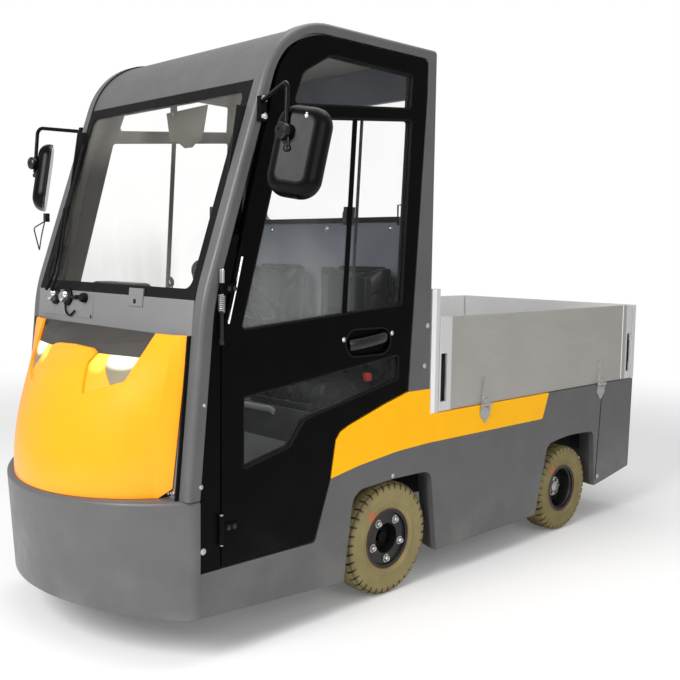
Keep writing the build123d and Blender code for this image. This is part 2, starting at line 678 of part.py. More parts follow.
strap = across([(-strap_foot, deck_z), (strap_foot, deck_z), (strap_foot, deck_z + 40),
                (strap_head, strap_high, 8), (-strap_head, strap_high, 8), (-strap_foot, deck_z + 40)],
               0, face_drop + hinge_proud)
strap_bend = deck_z + 24
strap -= across([(-strap_foot - 1, strap_bend), (strap_foot + 1, strap_bend),
                 (strap_foot + 1, strap_high + 1), (-strap_foot - 1, strap_high + 1)],
                face_drop + 4, face_drop + hinge_proud + 1)
bed_hinge_ys = [222.0, 1122.0]
for y in bed_hinge_ys:
    side_board += rod_y(bed_hinge_x, y - strap_foot, y + strap_foot, deck_z, hinge_barrel)
    side_board += Pos(outer_x - face_drop, y, 0) * strap
save_pair(side_board, "side_board")

tail_board = block(-outer_x, outer_x, tail_inner_y, rear_y, board_low, board_top)
tail_board -= block(-outer_x + end_profile, outer_x - end_profile, rear_y - face_drop, rear_y + 1,
                    board_low - 1, board_top + 1)
tail_hinge_y = rear_y + hinge_proud
tail_hinge_xs = [-350.0, 350.0]
for x in tail_hinge_xs:
    tail_board += rod_x(x - strap_foot, x + strap_foot, tail_hinge_y, deck_z, hinge_barrel)
    tail_board += Pos(x, rear_y - face_drop, 0) * Rot(0, 0, 90) * strap
save(tail_board, "tail_board")

# Fixed halves of the board hinges, each a pointed plate with two knuckles
plate_half, plate_low, plate_point = 34.0, 610.0, 572.0
knuckle_end = 30.0
hinge_plate = across([(-plate_half, deck_z - 12), (-plate_half, plate_low), (0, plate_point, 8),
                      (plate_half, plate_low), (plate_half, deck_z - 12)], 0, 4)
for side in (-1, 1):
    near, far = sorted((side * (strap_foot + hinge_clearance), side * knuckle_end))
    hinge_plate += rod_y(bed_hinge_x - body_half_width, near, far, deck_z, hinge_barrel)
    hinge_plate += block(0, bed_hinge_x - body_half_width, near, far, deck_z - 20, deck_z)
board_hinges = [Pos(body_half_width, y, 0) * hinge_plate for y in bed_hinge_ys]
board_hinges += [mirror(h, about=Plane.YZ) for h in board_hinges]
save(Compound(children=board_hinges), "side_board_hinges")
tail_plate = Rot(0, 0, 90) * hinge_plate
tail_wall_gap = tail_hinge_y - (bed_hinge_x - body_half_width)
tail_hinges = []
for x in tail_hinge_xs:
    piece = Pos(x, tail_wall_gap, 0) * tail_plate
    piece += block(x - plate_half, x + plate_half, rear_y - 8, tail_wall_gap, plate_low, deck_z - 12)
    tail_hinges.append(piece)
save(Compound(children=tail_hinges), "tail_board_hinges")

# Tow coupling in the rear pocket: a jaw with an upright pin bore
jaw_low, jaw_high = 330.0, 430.0
jaw = block(-60, 60, rear_y - 100, rear_y - 10, jaw_low, jaw_high)
jaw -= block(-45, 45, rear_y - 70, rear_y, jaw_low + 22, jaw_high - 22)
bore_y = rear_y - 40
pin_bore = 15.0
jaw -= rod_z(0, bore_y, jaw_low - 1, jaw_high + 1, pin_bore)
jaw += block(-75, 75, rear_y - 112, rear_y - 100, jaw_low - 20, jaw_high + 20)
jaw += block(-40, 40, 1150 + sheet, rear_y - 112, 360, 400)
save(jaw, "tow_coupling")

# Front axle beam, knuckles and wheels
beam_half = kingpin_x - 26
spring_x = 250.0
axle_z = front_tyre_radius
beam = block(-beam_half, beam_half, front_axle_y - 35, front_axle_y + 35, axle_z - 30, axle_z + 30)
for side in (-1, 1):
    beam += block(side * spring_x - 30, side * spring_x + 30, front_axle_y - 45, front_axle_y + 45,
                  axle_z + 30, frame_low)
    eye_x = side * kingpin_x
    for low, high in ((axle_z - 62, axle_z - 38), (axle_z + 38, axle_z + 62)):
        beam += rod_z(eye_x, front_axle_y, low, high, 26)
        beam += block(min(side * (beam_half - 20), eye_x), max(side * (beam_half - 20), eye_x),
                      front_axle_y - 26, front_axle_y + 26, low, high)
    beam += block(side * (beam_half - 10) - 10, side * (beam_half - 10) + 10, front_axle_y - 26,
                  front_axle_y + 26, axle_z - 62, axle_z + 62)
    beam -= rod_z(eye_x, front_axle_y, axle_z - 70, axle_z + 70, kingpin_radius + 0.05)
save(beam, "front_axle")
axle_bore = 20.05
front_wheel_x = tyre_outer_x - front_tyre_width / 2
knuckle = rod_z(kingpin_x, front_axle_y, axle_z - 62, axle_z + 62, kingpin_radius)
knuckle += rod_z(kingpin_x, front_axle_y, axle_z - 37, axle_z + 37, 24)
knuckle += rod_x(kingpin_x, front_wheel_x + 20, front_axle_y, axle_z, 20)
knuckle += rod_x(kingpin_x + 10, front_wheel_x - 20, front_axle_y, axle_z, 30)
save_pair(knuckle, "knuckle")


def tyre(radius, rim, width, x, y):
    """Plain tyre with rounded shoulders, out to the tips of its lugs."""
    half = width / 2
    face = outline([(rim, -half + 6), (radius - 30, -half), (radius - 8, -half + 8, 8), (radius, -half + 26),
                    (radius, half - 26), (radius - 8, half - 8, 8), (radius - 30, half), (rim, half - 6)])
    ring = revolve(Plane.XY * face, axis=Axis.Y)
    return Pos(x, y, radius) * Rot(0, 0, 90) * ring


def rim_barrel(rim, width):
    """Rim ring with its rolled edges, for a wheel that stands on the ground."""
    half = width / 2 - 6
    face = outline([(rim - 12, -half), (rim, -half), (rim, half), (rim - 12, half), (rim - 12, half - 8),
                    (rim - 18, half - 14), (rim - 18, -half + 14), (rim - 12, -half + 8)])
    return Rot(0, 0, 90) * revolve(Plane.XY * face, axis=Axis.Y)


def nuts(circle, radius, count, x0, x1):
    """Ring of wheel nuts about the X axis."""
    ring = []
    for i in range(count):
        turn = 2 * math.pi * (i + 0.5) / count
        plane = Plane(origin=(x0, circle * math.sin(turn), circle * math.cos(turn)), z_dir=(1, 0, 0))
        ring.append(extrude(plane * RegularPolygon(radius, 6), x1 - x0))
    return ring


def front_rim():
    """Flat disc near the outer face, with five nuts round a deep round recess."""
    outer = front_tyre_width / 2 - 14
    rim = rim_barrel(front_rim_radius, front_tyre_width)
    rim += rod_x(outer - 10, outer, 0, 0, front_rim_radius - 14)
    rim += rod_x(-20, outer, 0, 0, hub_recess_radius + 5)
    rim -= rod_x(-8, outer + 1, 0, 0, hub_recess_radius)
    for nut in nuts(nut_circle, nut_radius, 5, outer, outer + 8):
        rim += nut
    return rim - rod_x(-60, 60, 0, 0, axle_bore)


def rear_rim():
    """Deep dish with a round hub and its nuts at the bottom."""
    floor, hub_face = -10.0, 4.0
    rim = rim_barrel(rear_rim_radius, rear_tyre_width)
    rim += rod_x(floor - 10, floor, 0, 0, rear_rim_radius - 16)
    rim += rod_x(floor - 30, hub_face, 0, 0, 44)
    for nut in nuts(32, nut_radius * 0.8, 6, hub_face, hub_face + 8):
        rim += nut
    return rim - rod_x(-60, 60, 0, 0, axle_bore)


save_pair(tyre(front_tyre_radius, front_rim_radius, front_tyre_width, front_wheel_x, front_axle_y),
          "front_tyre")
save_pair(Pos(front_wheel_x, front_axle_y, axle_z) * front_rim(), "front_rim")

# Rear drive axle and wheels
rear_wheel_x = tyre_outer_x - rear_tyre_width / 2
rear_axle_z = rear_tyre_radius
save_pair(tyre(rear_tyre_radius, rear_rim_radius, rear_tyre_width, rear_wheel_x, rear_axle_y), "rear_tyre")
save_pair(Pos(rear_wheel_x, rear_axle_y, rear_axle_z) * rear_rim(), "rear_rim")
drive = rod_x(-330, 330, rear_axle_y, rear_axle_z, 42)
drive += rod_x(-90, 90, rear_axle_y, rear_axle_z, 105)
drive += rod_y(0, rear_axle_y, rear_axle_y + 260, rear_axle_z + 40, 80)
for side in (-1, 1):
    stub_end = rear_wheel_x + 12
    drive += rod_x(min(side * 320, side * stub_end), max(side * 320, side * stub_end), rear_axle_y,
                   rear_axle_z, 20)
    drive += block(side * spring_x - 35, side * spring_x + 35, rear_axle_y - 45, rear_axle_y + 45,
                   rear_axle_z, frame_low)
save(drive, "drive_axle")
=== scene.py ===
import json
import logging
import math
from collections.abc import Iterable, Mapping, Sequence
from dataclasses import dataclass
from enum import Enum

import bmesh
import bpy
from mathutils import Matrix, Vector


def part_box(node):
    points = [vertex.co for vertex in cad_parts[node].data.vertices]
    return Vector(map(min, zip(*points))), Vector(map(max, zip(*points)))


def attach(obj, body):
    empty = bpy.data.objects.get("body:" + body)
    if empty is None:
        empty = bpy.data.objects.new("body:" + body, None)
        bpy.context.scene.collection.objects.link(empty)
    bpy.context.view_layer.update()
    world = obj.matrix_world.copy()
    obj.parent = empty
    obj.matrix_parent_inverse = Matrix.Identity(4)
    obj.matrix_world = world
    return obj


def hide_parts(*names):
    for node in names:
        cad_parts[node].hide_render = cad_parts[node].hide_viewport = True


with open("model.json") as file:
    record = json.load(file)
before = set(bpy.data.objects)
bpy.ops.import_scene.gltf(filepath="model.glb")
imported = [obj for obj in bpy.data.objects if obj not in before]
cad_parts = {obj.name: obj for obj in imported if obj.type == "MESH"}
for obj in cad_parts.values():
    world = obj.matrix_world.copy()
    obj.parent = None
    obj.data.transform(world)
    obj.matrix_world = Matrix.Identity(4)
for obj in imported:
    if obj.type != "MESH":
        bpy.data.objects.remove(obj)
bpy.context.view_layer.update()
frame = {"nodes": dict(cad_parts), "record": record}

log = logging.getLogger("tug")
Colour = tuple[float, float, float]
Place = tuple[float, float, float]
Pair = tuple[float, float]
Socket = bpy.types.NodeSocket
WHITE = (1.0, 1.0, 1.0, 1.0)
LEFT, RIGHT = 1, -1
SCREEN_LEAN = 18.38
SIDE_NAMES = {LEFT: "left", RIGHT: "right"}


def tone(red: int, green: int, blue: int) -> Colour:
    """Linear colour of screen values from 0 to 255."""
    return tuple(((v / 255 + 0.055) / 1.055) ** 2.4 if v > 10 else v / 255 / 12.92
                 for v in (red, green, blue))


def scaled(colour: Colour, share: float) -> Colour:
    """Colour times a share, held at white."""
    return tuple(min(1.0, c * share) for c in colour)


class Term:
    """Number on a node socket; its arithmetic adds Math nodes to the shader."""

    def __init__(self, shader: "Shader", socket: Socket) -> None:
        """Keep a socket and the shader that it belongs to."""
        self.shader = shader
        self.socket = socket

    def join(self, operation: str, *values: "Term | float") -> "Term":
        """Add one Math node.

        Args:
            operation: Name of the Math operation.
            values: Inputs in the node's order.

        Returns:
            The node's output.
        """
        node = self.shader.node("ShaderNodeMath", {"operation": operation}, dict(enumerate(values)))
        return Term(self.shader, node.outputs[0])

    def __add__(self, other: "Term | float") -> "Term":
        """Sum."""
        return self.join("ADD", self, other)

    def __radd__(self, other: float) -> "Term":
        """Sum with a number on the left."""
        return self.join("ADD", other, self)

    def __sub__(self, other: "Term | float") -> "Term":
        """Difference."""
        return self.join("SUBTRACT", self, other)

    def __rsub__(self, other: float) -> "Term":
        """Difference from a number on the left."""
        return self.join("SUBTRACT", other, self)

    def __mul__(self, other: "Term | float") -> "Term":
        """Product."""
        return self.join("MULTIPLY", self, other)

    def __rmul__(self, other: float) -> "Term":
        """Product with a number on the left."""
        return self.join("MULTIPLY", other, self)

    def __truediv__(self, other: "Term | float") -> "Term":
        """Quotient."""
        return self.join("DIVIDE", self, other)

    def __rtruediv__(self, other: float) -> "Term":
        """Quotient of a number on the left."""
        return self.join("DIVIDE", other, self)

    def __pow__(self, other: float) -> "Term":
        """Power."""
        return self.join("POWER", self, other)

    def __mod__(self, other: float) -> "Term":
        """Remainder."""
        return self.join("MODULO", self, other)

    def __abs__(self) -> "Term":
        """Size without the sign."""
        return self.join("ABSOLUTE", self)

    def either(self, other: "Term") -> "Term":
        """Larger of two numbers."""
        return self.join("MAXIMUM", self, other)

    def nearest(self) -> "Term":
        """Nearest whole number."""
        return self.join("FLOOR", self + 0.5)

    def wave(self) -> "Term":
        """Sine."""
        return self.join("SINE", self)

    def step(self, low: float, high: float) -> "Term":
        """Smooth rise from 0 to 1; it falls where high is the lower.

        Args:
            low: Where it is 0.
            high: Where it is 1.

        Returns:
            The rise.
        """
        node = self.shader.node("ShaderNodeMapRange", {"interpolation_type": "SMOOTHSTEP"},
                                {"Value": self, "From Min": low, "From Max": high})
        return Term(self.shader, node.outputs[0])


class Nodes:
    """Node tree that is built up from empty."""

    def __init__(self, tree: bpy.types.NodeTree) -> None:
        """Clear the tree."""
        self.tree = tree
        self.tree.nodes.clear()

    def node(self, kind: str, settings: Mapping[str, object] | None = None,
             inputs: Mapping[str | int, object] | None = None) -> bpy.types.Node:
        """Add one node.

        Args:
            kind: Type of the node.
            settings: Its own settings, set first.
            inputs: Values or links of its sockets, by name or place.

        Returns:
            The node.
        """
        node = self.tree.nodes.new(kind)
        for key, value in (settings or {}).items():
            setattr(node, key, value)
        for key, value in (inputs or {}).items():
            value = value.socket if isinstance(value, Term) else value
            if isinstance(value, Socket):
                self.tree.links.new(value, node.inputs[key])
            else:
                node.inputs[key].default_value = value
        return node


class Shader(Nodes):
    """Nodes of one material round its Principled shader."""

    def __init__(self, name: str) -> None:
        """Make an empty material with a Principled shader on its output.

        Args:
            name: The material's name.
        """
        self.material = bpy.data.materials.new(name)
        self.material.use_nodes = True
        super().__init__(self.material.node_tree)
        self.surface = self.node("ShaderNodeBsdfPrincipled")
        self.output = self.node("ShaderNodeOutputMaterial", inputs={"Surface": self.surface.outputs[0]})

    def fix(self, values: Mapping[str, object]) -> None:
        """Set constants on the Principled shader's sockets."""
        for key, value in values.items():
            self.surface.inputs[key].default_value = value

    def feed(self, key: str, value: "Term | Socket") -> None:
        """Link a varying value to a socket of the Principled shader."""
        self.tree.links.new(value.socket if isinstance(value, Term) else value, self.surface.inputs[key])

    def place(self) -> Socket:
        """Place on the piece, in metres."""
        return self.node("ShaderNodeTexCoord").outputs["Object"]

    def parts(self, vector: Socket) -> tuple[Term, Term, Term]:
        """Three numbers of a vector."""
        split = self.node("ShaderNodeSeparateXYZ", inputs={0: vector})
        return tuple(Term(self, out) for out in split.outputs)

    def axes(self) -> tuple[Term, Term, Term]:
        """Place on the piece as three numbers."""
        return self.parts(self.place())

    def outward(self) -> tuple[Term, Term, Term]:
        """Direction that the surface faces, as three numbers."""
        return self.parts(self.node("ShaderNodeNewGeometry").outputs["Normal"])

    def stretched(self, scale: Place) -> Socket:
        """Place on the piece multiplied along each axis."""
        inputs = {0: self.place(), 1: scale}
        return self.node("ShaderNodeVectorMath", {"operation": "MULTIPLY"}, inputs).outputs[0]

    def noise(self, scale: float, detail: float = 3.0, where: Socket | None = None) -> Term:
        """Soft noise from 0 to 1.

        Args:
            scale: Spots to the metre, or to one unit of where.
            detail: Octaves.
            where: Place to read, or the place on the piece.

        Returns:
            The noise.
        """
        node = self.node("ShaderNodeTexNoise", inputs={"Vector": where or self.place(), "Scale": scale,
                                                       "Detail": detail})
        return Term(self, node.outputs[0])

    def pebbles(self, scale: float) -> Term:
        """Rounded cells of a pebbled grain."""
        inputs = {"Vector": self.place(), "Scale": scale}
        return Term(self, self.node("ShaderNodeTexVoronoi", {"feature": "SMOOTH_F1"}, inputs).outputs[0])

    def mix(self, factor: "Term | float", first: "Colour | Socket", second: "Colour | Socket") -> Socket:
        """Colour between two colours.

        Args:
            factor: Share of the second colour.
            first: Colour where the share is 0.
            second: Colour where it is 1.

        Returns:
            The mixed colour.
        """
        pair = [c if isinstance(c, Socket) else (*c, 1.0) for c in (first, second)]
        inputs = {0: factor, 6: pair[0], 7: pair[1]}
        return self.node("ShaderNodeMix", {"data_type": "RGBA"}, inputs).outputs[2]

    def relief(self, height: Term, depth: float, edge: float) -> Socket:
        """Normal with a bump over softly rounded edges.

        Args:
            height: Height from 0 to 1.
            depth: What a height of 1 stands for, in metres.
            edge: Radius to which edges are rounded, in metres.

        Returns:
            The normal.
        """
        inputs = {"Height": height, "Distance": depth}
        if edge:
            inputs["Normal"] = self.node("ShaderNodeBevel", {"samples": 4}, {"Radius": edge}).outputs[0]
        return self.node("ShaderNodeBump", inputs=inputs).outputs[0]


@dataclass(frozen=True)
class Finish:
    """Finish of painted and moulded surfaces, and the base of the others.

    Lengths are in metres. Dust fades in from the first height of dusty down to the second.
    """

    name: str
    slot: str
    colour: Colour
    roughness: float
    metallic: float = 0.0
    coat: float = 0.0
    specular: float = 0.5
    mottle: float = 0.05
    mottle_scale: float = 9.0
    grain: float = 0.0
    grain_scale: float = 500.0
    dust: float = 0.0
    dusty: Pair = (0.55, 0.1)
    edge: float = 0.001

    def material(self) -> bpy.types.Material:
        """The finish's material, made on first use."""
        known = bpy.data.materials.get(self.name)
        return known if known else self.make()

    def make(self) -> bpy.types.Material:
        """Build the material.

        Returns:
            The material.
        """
        shader = Shader(self.name)
        shader.fix({"Metallic": self.metallic, "Coat Weight": self.coat, "Coat Roughness": 0.08,
                    "Specular IOR Level": self.specular})
        self.tint(shader)
        self.gloss(shader)
        self.surface(shader)
        return shader.material

    def painted(self, shader: Shader) -> Socket:
        """Colour with faint cloudy spots, and road dust low down.

        Args:
            shader: Nodes of the material.

        Returns:
            The colour.
        """
        cloud = shader.noise(self.mottle_scale, 4.0)
        dark, light = scaled(self.colour, 1 - self.mottle), scaled(self.colour, 1 + self.mottle)
        colour = shader.mix(cloud.step(0.3, 0.7), dark, light)
        if self.dust:
            height = shader.axes()[2]
            film = height.step(*self.dusty) * shader.noise(5.0, 6.0).step(0.35, 0.75) * self.dust
            colour = shader.mix(film, colour, DUST)
        return colour

    def tint(self, shader: Shader) -> None:
        """Feed the colour."""
        shader.feed("Base Color", self.painted(shader))

    def gloss(self, shader: Shader) -> None:
        """Roughness that wanders a little."""
        shader.feed("Roughness", self.roughness + (shader.noise(23.0, 5.0) - 0.5) * self.roughness * 0.5)

    def surface(self, shader: Shader) -> None:
        """Fine relief over rounded edges."""
        if self.grain or self.edge:
            shader.feed("Normal", shader.relief(shader.noise(self.grain_scale, 2.0), self.grain, self.edge))


@dataclass(frozen=True)
class LinedFinish(Finish):
    """Body paint whose faces towards the cab's middle and below the roof are lined.

    The lining starts at the two cabin pairs, which give where it fades in upwards and forwards.
    """

    inner_x: float = 0.4903
    border: float = 0.0002
    cabin_low: Pair = (1.10, 1.12)
    cabin_rear: Pair = (-0.118, -0.122)
    lining: Colour = (0.010, 0.010, 0.010)
    ceiling: Colour = (0.20, 0.195, 0.18)

    def tint(self, shader: Shader) -> None:
        """Paint outside, dark lining inside the cab.

        Args:
            shader: Nodes of the material.
        """
        x, y, z = shader.axes()
        across, _, up = shader.outward()
        inward = (across * x).step(-0.3 * self.inner_x, -0.5 * self.inner_x)
        side = abs(x).step(self.inner_x + self.border, self.inner_x - self.border) * inward
        cabin = z.step(*self.cabin_low) * y.step(*self.cabin_rear)
        lined = shader.mix(side * cabin, self.painted(shader), self.lining)
        shader.feed("Base Color", shader.mix(up.step(-0.4, -0.6) * cabin, lined, self.ceiling))


@dataclass(frozen=True)
class PebbledFinish(Finish):
    """Moulded plastic and vinyl with a pebbled grain."""

    def surface(self, shader: Shader) -> None:
        """Pebbles with creases between them."""
        height = shader.pebbles(self.grain_scale) * 0.7 + shader.noise(self.grain_scale * 0.4, 3.0) * 0.5
        shader.feed("Normal", shader.relief(height, self.grain, self.edge))


@dataclass(frozen=True)
class BoxFinish(PebbledFinish):
    """Seat box lining with a dark cover above its pale kick board, both lightened as painted light."""

    kick_top: float = 0.568
    border: float = 0.001
    # Colour of the dark cover, lightened as painted light.
    dark_cover: Colour = (0.17, 0.17, 0.17)

    def tint(self, shader: Shader) -> None:
        """Dark cover above, pale kick board below, both cloudy and lightened as painted light.

        Args:
            shader: Nodes of the material.
        """
        cloud = shader.noise(self.mottle_scale, 4.0).step(0.3, 0.7)
        above = shader.axes()[2].step(self.kick_top - self.border, self.kick_top + self.border)
        pale = shader.mix(cloud, scaled(self.colour, 1 - self.mottle), self.colour)
        dark = shader.mix(cloud, scaled(self.dark_cover, 1 - 3 * self.mottle), self.dark_cover)
        shader.feed("Base Color", shader.mix(above, pale, dark))


@dataclass(frozen=True)
class BrushedFinish(Finish):
    """Rolled or brushed metal with fine lines along one axis."""

    stretch: Place = (60.0, 2.0, 60.0)
    oxide: float = 2.2

    def worn(self, shader: Shader, colour: Colour) -> Socket:
        """Metal colour with streaks and cloudy oxide.

        Args:
            shader: Nodes of the material.
            colour: Colour of the clean metal.

        Returns:
            The colour.
        """
        streak = shader.noise(6.0, 3.0, shader.stretched(self.stretch))
        clean = (streak * 0.6 + shader.noise(4.0, 5.0) * 0.6).step(0.35, 0.85)
        return shader.mix(clean, scaled(colour, 1 - self.oxide * self.mottle), colour)

    def tint(self, shader: Shader) -> None:
        """Feed the colour."""
        shader.feed("Base Color", self.worn(shader, self.colour))

    def gloss(self, shader: Shader) -> None:
        """Roughness streaked as the colour is."""
        streak = shader.noise(10.0, 3.0, shader.stretched(self.stretch))
        shader.feed("Roughness", self.roughness + (streak - 0.5) * 0.22 + (shader.noise(7.0) - 0.5) * 0.12)

    def surface(self, shader: Shader) -> None:
        """Brush lines."""
        lines = shader.noise(14.0, 2.0, shader.stretched(self.stretch))
        shader.feed("Normal", shader.relief(lines, self.grain, self.edge))


@dataclass(frozen=True)
class BedFinish(BrushedFinish):
    """Board profiles of streaked metal, with painted light on the faces that look into the bed.

    The ends of a side board lie before end_front and behind end_rear, and post_edge bounds the front
    posts' bright edge. What lies further out than flank counts as the outside.
    """

    # Colour of the faces that look into the bed, lightened as painted light.
    bright: Colour = (0.90, 0.90, 0.89)
    middle_y: float = 0.66
    end_profile: Colour = (0.60, 0.60, 0.60)
    end_front: float = 0.002
    end_rear: float = 1.348
    flank: Pair = (0.500, 0.505)
    post_tone: Colour = (0.9, 0.9, 0.91)
    post_edge: float = -0.093
    border: float = 0.001

    def tint(self, shader: Shader) -> None:
        """Streaked metal; painted light inside the bed; lighter end profiles and posts' edge.

        Args:
            shader: Nodes of the material.
        """
        x, y, _ = shader.axes()
        across, along, _ = shader.outward()
        # Faces that look into the bed take the lighter colour: painted light.
        inside = (across * x).step(-0.2, -0.35).either((along * (y - self.middle_y)).step(-0.4, -0.6))
        front = y.step(self.end_front + self.border, self.end_front)
        rear = y.step(self.end_rear, self.end_rear + self.border)
        flank = abs(x).step(*self.flank)
        outer = shader.mix(flank * front.either(rear), self.worn(shader, self.colour), self.end_profile)
        post = flank * y.step(self.post_edge + self.border, self.post_edge)
        outer = shader.mix(post, outer, self.post_tone)
        shader.feed("Base Color", shader.mix(inside, outer, self.worn(shader, self.bright)))


@dataclass(frozen=True)
class ChequerFinish(Finish):
    """Floor sheet with raised bars that lie crosswise by turns.

    The pair bar holds the squares of a bar's half length and half width, in cells.
    """

    pitch: float = 0.03
    bar: Pair = (0.14, 0.014)

    def surface(self, shader: Shader) -> None:
        """Rows of raised bars, turned by a quarter from one cell to the next.

        Args:
            shader: Nodes of the material.
        """
        x, y, _ = shader.axes()
        cells = math.sqrt(0.5) / self.pitch
        turned = [(x + y) * cells, (x - y) * cells]
        whole = [t.nearest() for t in turned]
        local = [t - w for t, w in zip(turned, whole)]
        odd = (whole[0] + whole[1] + 1000.0) % 2.0
        along = local[0] * odd + local[1] * (1 - odd)
        beside = local[1] * odd + local[0] * (1 - odd)
        reach = along * along / self.bar[0] + beside * beside / self.bar[1]
        shader.feed("Normal", shader.relief(reach.step(1.0, 0.5), self.grain, self.edge))


@dataclass(frozen=True)
class GlassFinish(Finish):
    """Thin pane, clearer in front than at a glancing angle, where its colour shows as painted reflection.

    A pale band of the pane's colour is a painted reflection. It fades in and out upwards at reflection_low
    and reflection_high, and forwards at reflection_along.
    """

    haze: float = 0.10
    rim: float = 0.45
    painted_reflection: float = 0.0
    reflection_low: Pair = (0.95, 1.02)
    reflection_high: Pair = (1.41, 1.11)
    reflection_along: Pair = (-0.50, -0.60)
    reflection_stretch: Place = (9.0, 9.0, 0.7)

    def make(self) -> bpy.types.Material:
        """Build the pane's material.

        Returns:
            The material.
        """
        shader = Shader(self.name)
        shader.fix({"Roughness": self.roughness, "Base Color": (*self.colour, 1.0), "IOR": 1.45,
                    "Specular IOR Level": self.specular})
        layer = shader.node("ShaderNodeLayerWeight", inputs={"Blend": 0.25})
        glance = Term(shader, layer.outputs["Facing"])
        smear = shader.noise(3.0, 5.0).step(0.45, 0.8) * 0.03
        # At a glancing angle more of the pane's colour shows, as painted reflection.
        alpha = self.haze + glance ** 3.0 * self.rim + smear
        # The pale band adds a streaked painted reflection in the pane's colour.
        if self.painted_reflection:
            _, y, z = shader.axes()
            streak = shader.noise(1.0, 3.0, shader.stretched(self.reflection_stretch)).step(0.30, 0.75)
            band = z.step(*self.reflection_low) * z.step(*self.reflection_high) * y.step(*self.reflection_along)
            alpha = alpha + band * (0.45 + 0.55 * streak) * self.painted_reflection
        shader.feed("Alpha", alpha)
        return shader.material


@dataclass(frozen=True)
class LensFinish(Finish):
    """Lamp lens that glows round a spot on each side of the vehicle.

    The spot is given across and in height, with its half sizes in reach. Inside the share core it glows
    in full.
    """

    glow: Colour = (1.0, 0.95, 0.8)
    strength: float = 1.0
    spot: Pair = (0.45, 0.58)
    reach: Pair = (0.07, 0.05)
    core: float = 0.4
    unlit: float = 0.45
    rib_scale: float = 900.0
    rib_depth: float = 0.0004

    def make(self) -> bpy.types.Material:
        """Build the lens material.

        Returns:
            The material.
        """
        shader = Shader(self.name)
        shader.fix({"Roughness": self.roughness, "Coat Weight": self.coat, "Coat Roughness": 0.05,
                    "Emission Strength": self.strength})
        x, _, z = shader.axes()
        aside = (abs(x) - self.spot[0]) / self.reach[0]
        above = (z - self.spot[1]) / self.reach[1]
        lit = (aside * aside + above * above).step(1.0, self.core)
        shader.feed("Base Color", shader.mix(lit, scaled(self.colour, self.unlit), self.colour))
        glow = lit * (0.85 + 0.15 * shader.noise(60.0, 2.0))
        shader.feed("Emission Color", shader.mix(glow, (0.0, 0.0, 0.0), self.glow))
        ribs = (x * self.rib_scale).wave() * 0.5 + 0.5
        shader.feed("Normal", shader.relief(ribs, self.rib_depth, 0.0))
        return shader.material


@dataclass(frozen=True)
class TyreFinish(Finish):
    """Solid non-marking rubber with dirt and painted shade in its grooves, a moulded ring and a painted mark.

    The mark points along mark_way, given in height and length. It fades in at mark_inner and out at
    mark_outer, both from the axle, and mark_side and mark_gap bound its two strokes.
    """

    radius: float = 0.2
    groove: float = 0.009
    tread_side: Pair = (0.054, 0.046)
    ring: float = 0.126
    mark: Colour = tone(206, 84, 44)
    mark_way: Pair = (0.748, -0.664)
    mark_inner: Pair = (0.112, 0.117)
    mark_outer: Pair = (0.152, 0.145)
    mark_side: Pair = (0.0155, 0.0130)
    mark_gap: Pair = (0.0015, 0.0045)

    def tint(self, shader: Shader) -> None:
        """Rubber colour, dirt and painted shade in the grooves, scuffs and the painted mark by the rim.

        Args:
            shader: Nodes of the material.
        """
        x, y, z = shader.axes()
        reach = (y * y + z * z) ** 0.5
        cloud = shader.noise(14.0, 6.0).step(0.3, 0.75)
        colour = shader.mix(cloud, scaled(self.colour, 0.8), self.colour)
        # The groove floors darken with dirt and with painted shade of their depth.
        floor = reach.step(self.radius - 0.3 * self.groove, self.radius - 0.9 * self.groove)
        tread = reach.step(self.radius - 0.030, self.radius - 0.022)
        colour = shader.mix(floor * tread * abs(x).step(*self.tread_side) * 0.85, colour, DIRT_AND_SHADE)
        colour = shader.mix(tread * shader.noise(40.0, 4.0).step(0.5, 0.75) * 0.4, colour, DIRT_AND_SHADE)
        up, along = self.mark_way
        out = up * z + along * y
        beside = abs(up * y - along * z)
        stroke = out.step(*self.mark_inner) * out.step(*self.mark_outer) * beside.step(*self.mark_side)
        stroke = stroke * beside.step(*self.mark_gap) * x.step(0.0, 0.01)
        chalk = shader.noise(120.0).step(0.2, 0.45) * 0.8
        shader.feed("Base Color", shader.mix(stroke * chalk, colour, self.mark))

    def surface(self, shader: Shader) -> None:
        """Rough rubber with a moulded ring round the sidewall.

        Args:
            shader: Nodes of the material.
        """
        _, y, z = shader.axes()
        reach = (y * y + z * z) ** 0.5
        ring = reach.step(self.ring, self.ring + 0.004) * reach.step(self.ring + 0.012, self.ring + 0.006)
        height = shader.noise(self.grain_scale, 2.0) * 0.2 + ring
        shader.feed("Normal", shader.relief(height, self.grain, self.edge))


DUST = tone(150, 146, 138)
# Dirt colour, also painted as shade in the tyres' grooves.
DIRT_AND_SHADE = tone(48, 44, 34)
BODY_GREY = LinedFinish("satin_grey_paint", "body_grey", tone(85, 85, 86), 0.42, specular=0.35, coat=0.06,
                        grain=0.00012, grain_scale=420.0, dust=0.25, edge=0.002)
YELLOW = Finish("gloss_yellow_moulding", "nose_yellow", tone(255, 154, 6), 0.36, specular=0.3, coat=0.2,
                mottle=0.02, grain=0.00006, grain_scale=260.0, dust=0.06, edge=0.0025)
STRIPE = Finish("side_yellow_paint", "nose_yellow", tone(252, 182, 0), 0.4, specular=0.14, mottle=0.015,
                grain=0.00006, grain_scale=260.0, dust=0.04, edge=0.0015)
DOOR_BLACK = Finish("satin_black_paint", "door_black", tone(10, 10, 10), 0.32, specular=0.03, mottle=0.12,
                    grain=0.00008, grain_scale=600.0, dust=0.03, edge=0.0015)
GLASS = GlassFinish("clear_pane", "window_glass", tone(150, 153, 151), 0.03, haze=0.012, rim=0.30)
# Door pane with a pale band of painted reflection across it.
DOOR_PANE = GlassFinish("veiled_door_pane", "window_glass", tone(176, 180, 179), 0.04, haze=0.015,
                        rim=0.32, painted_reflection=0.22)
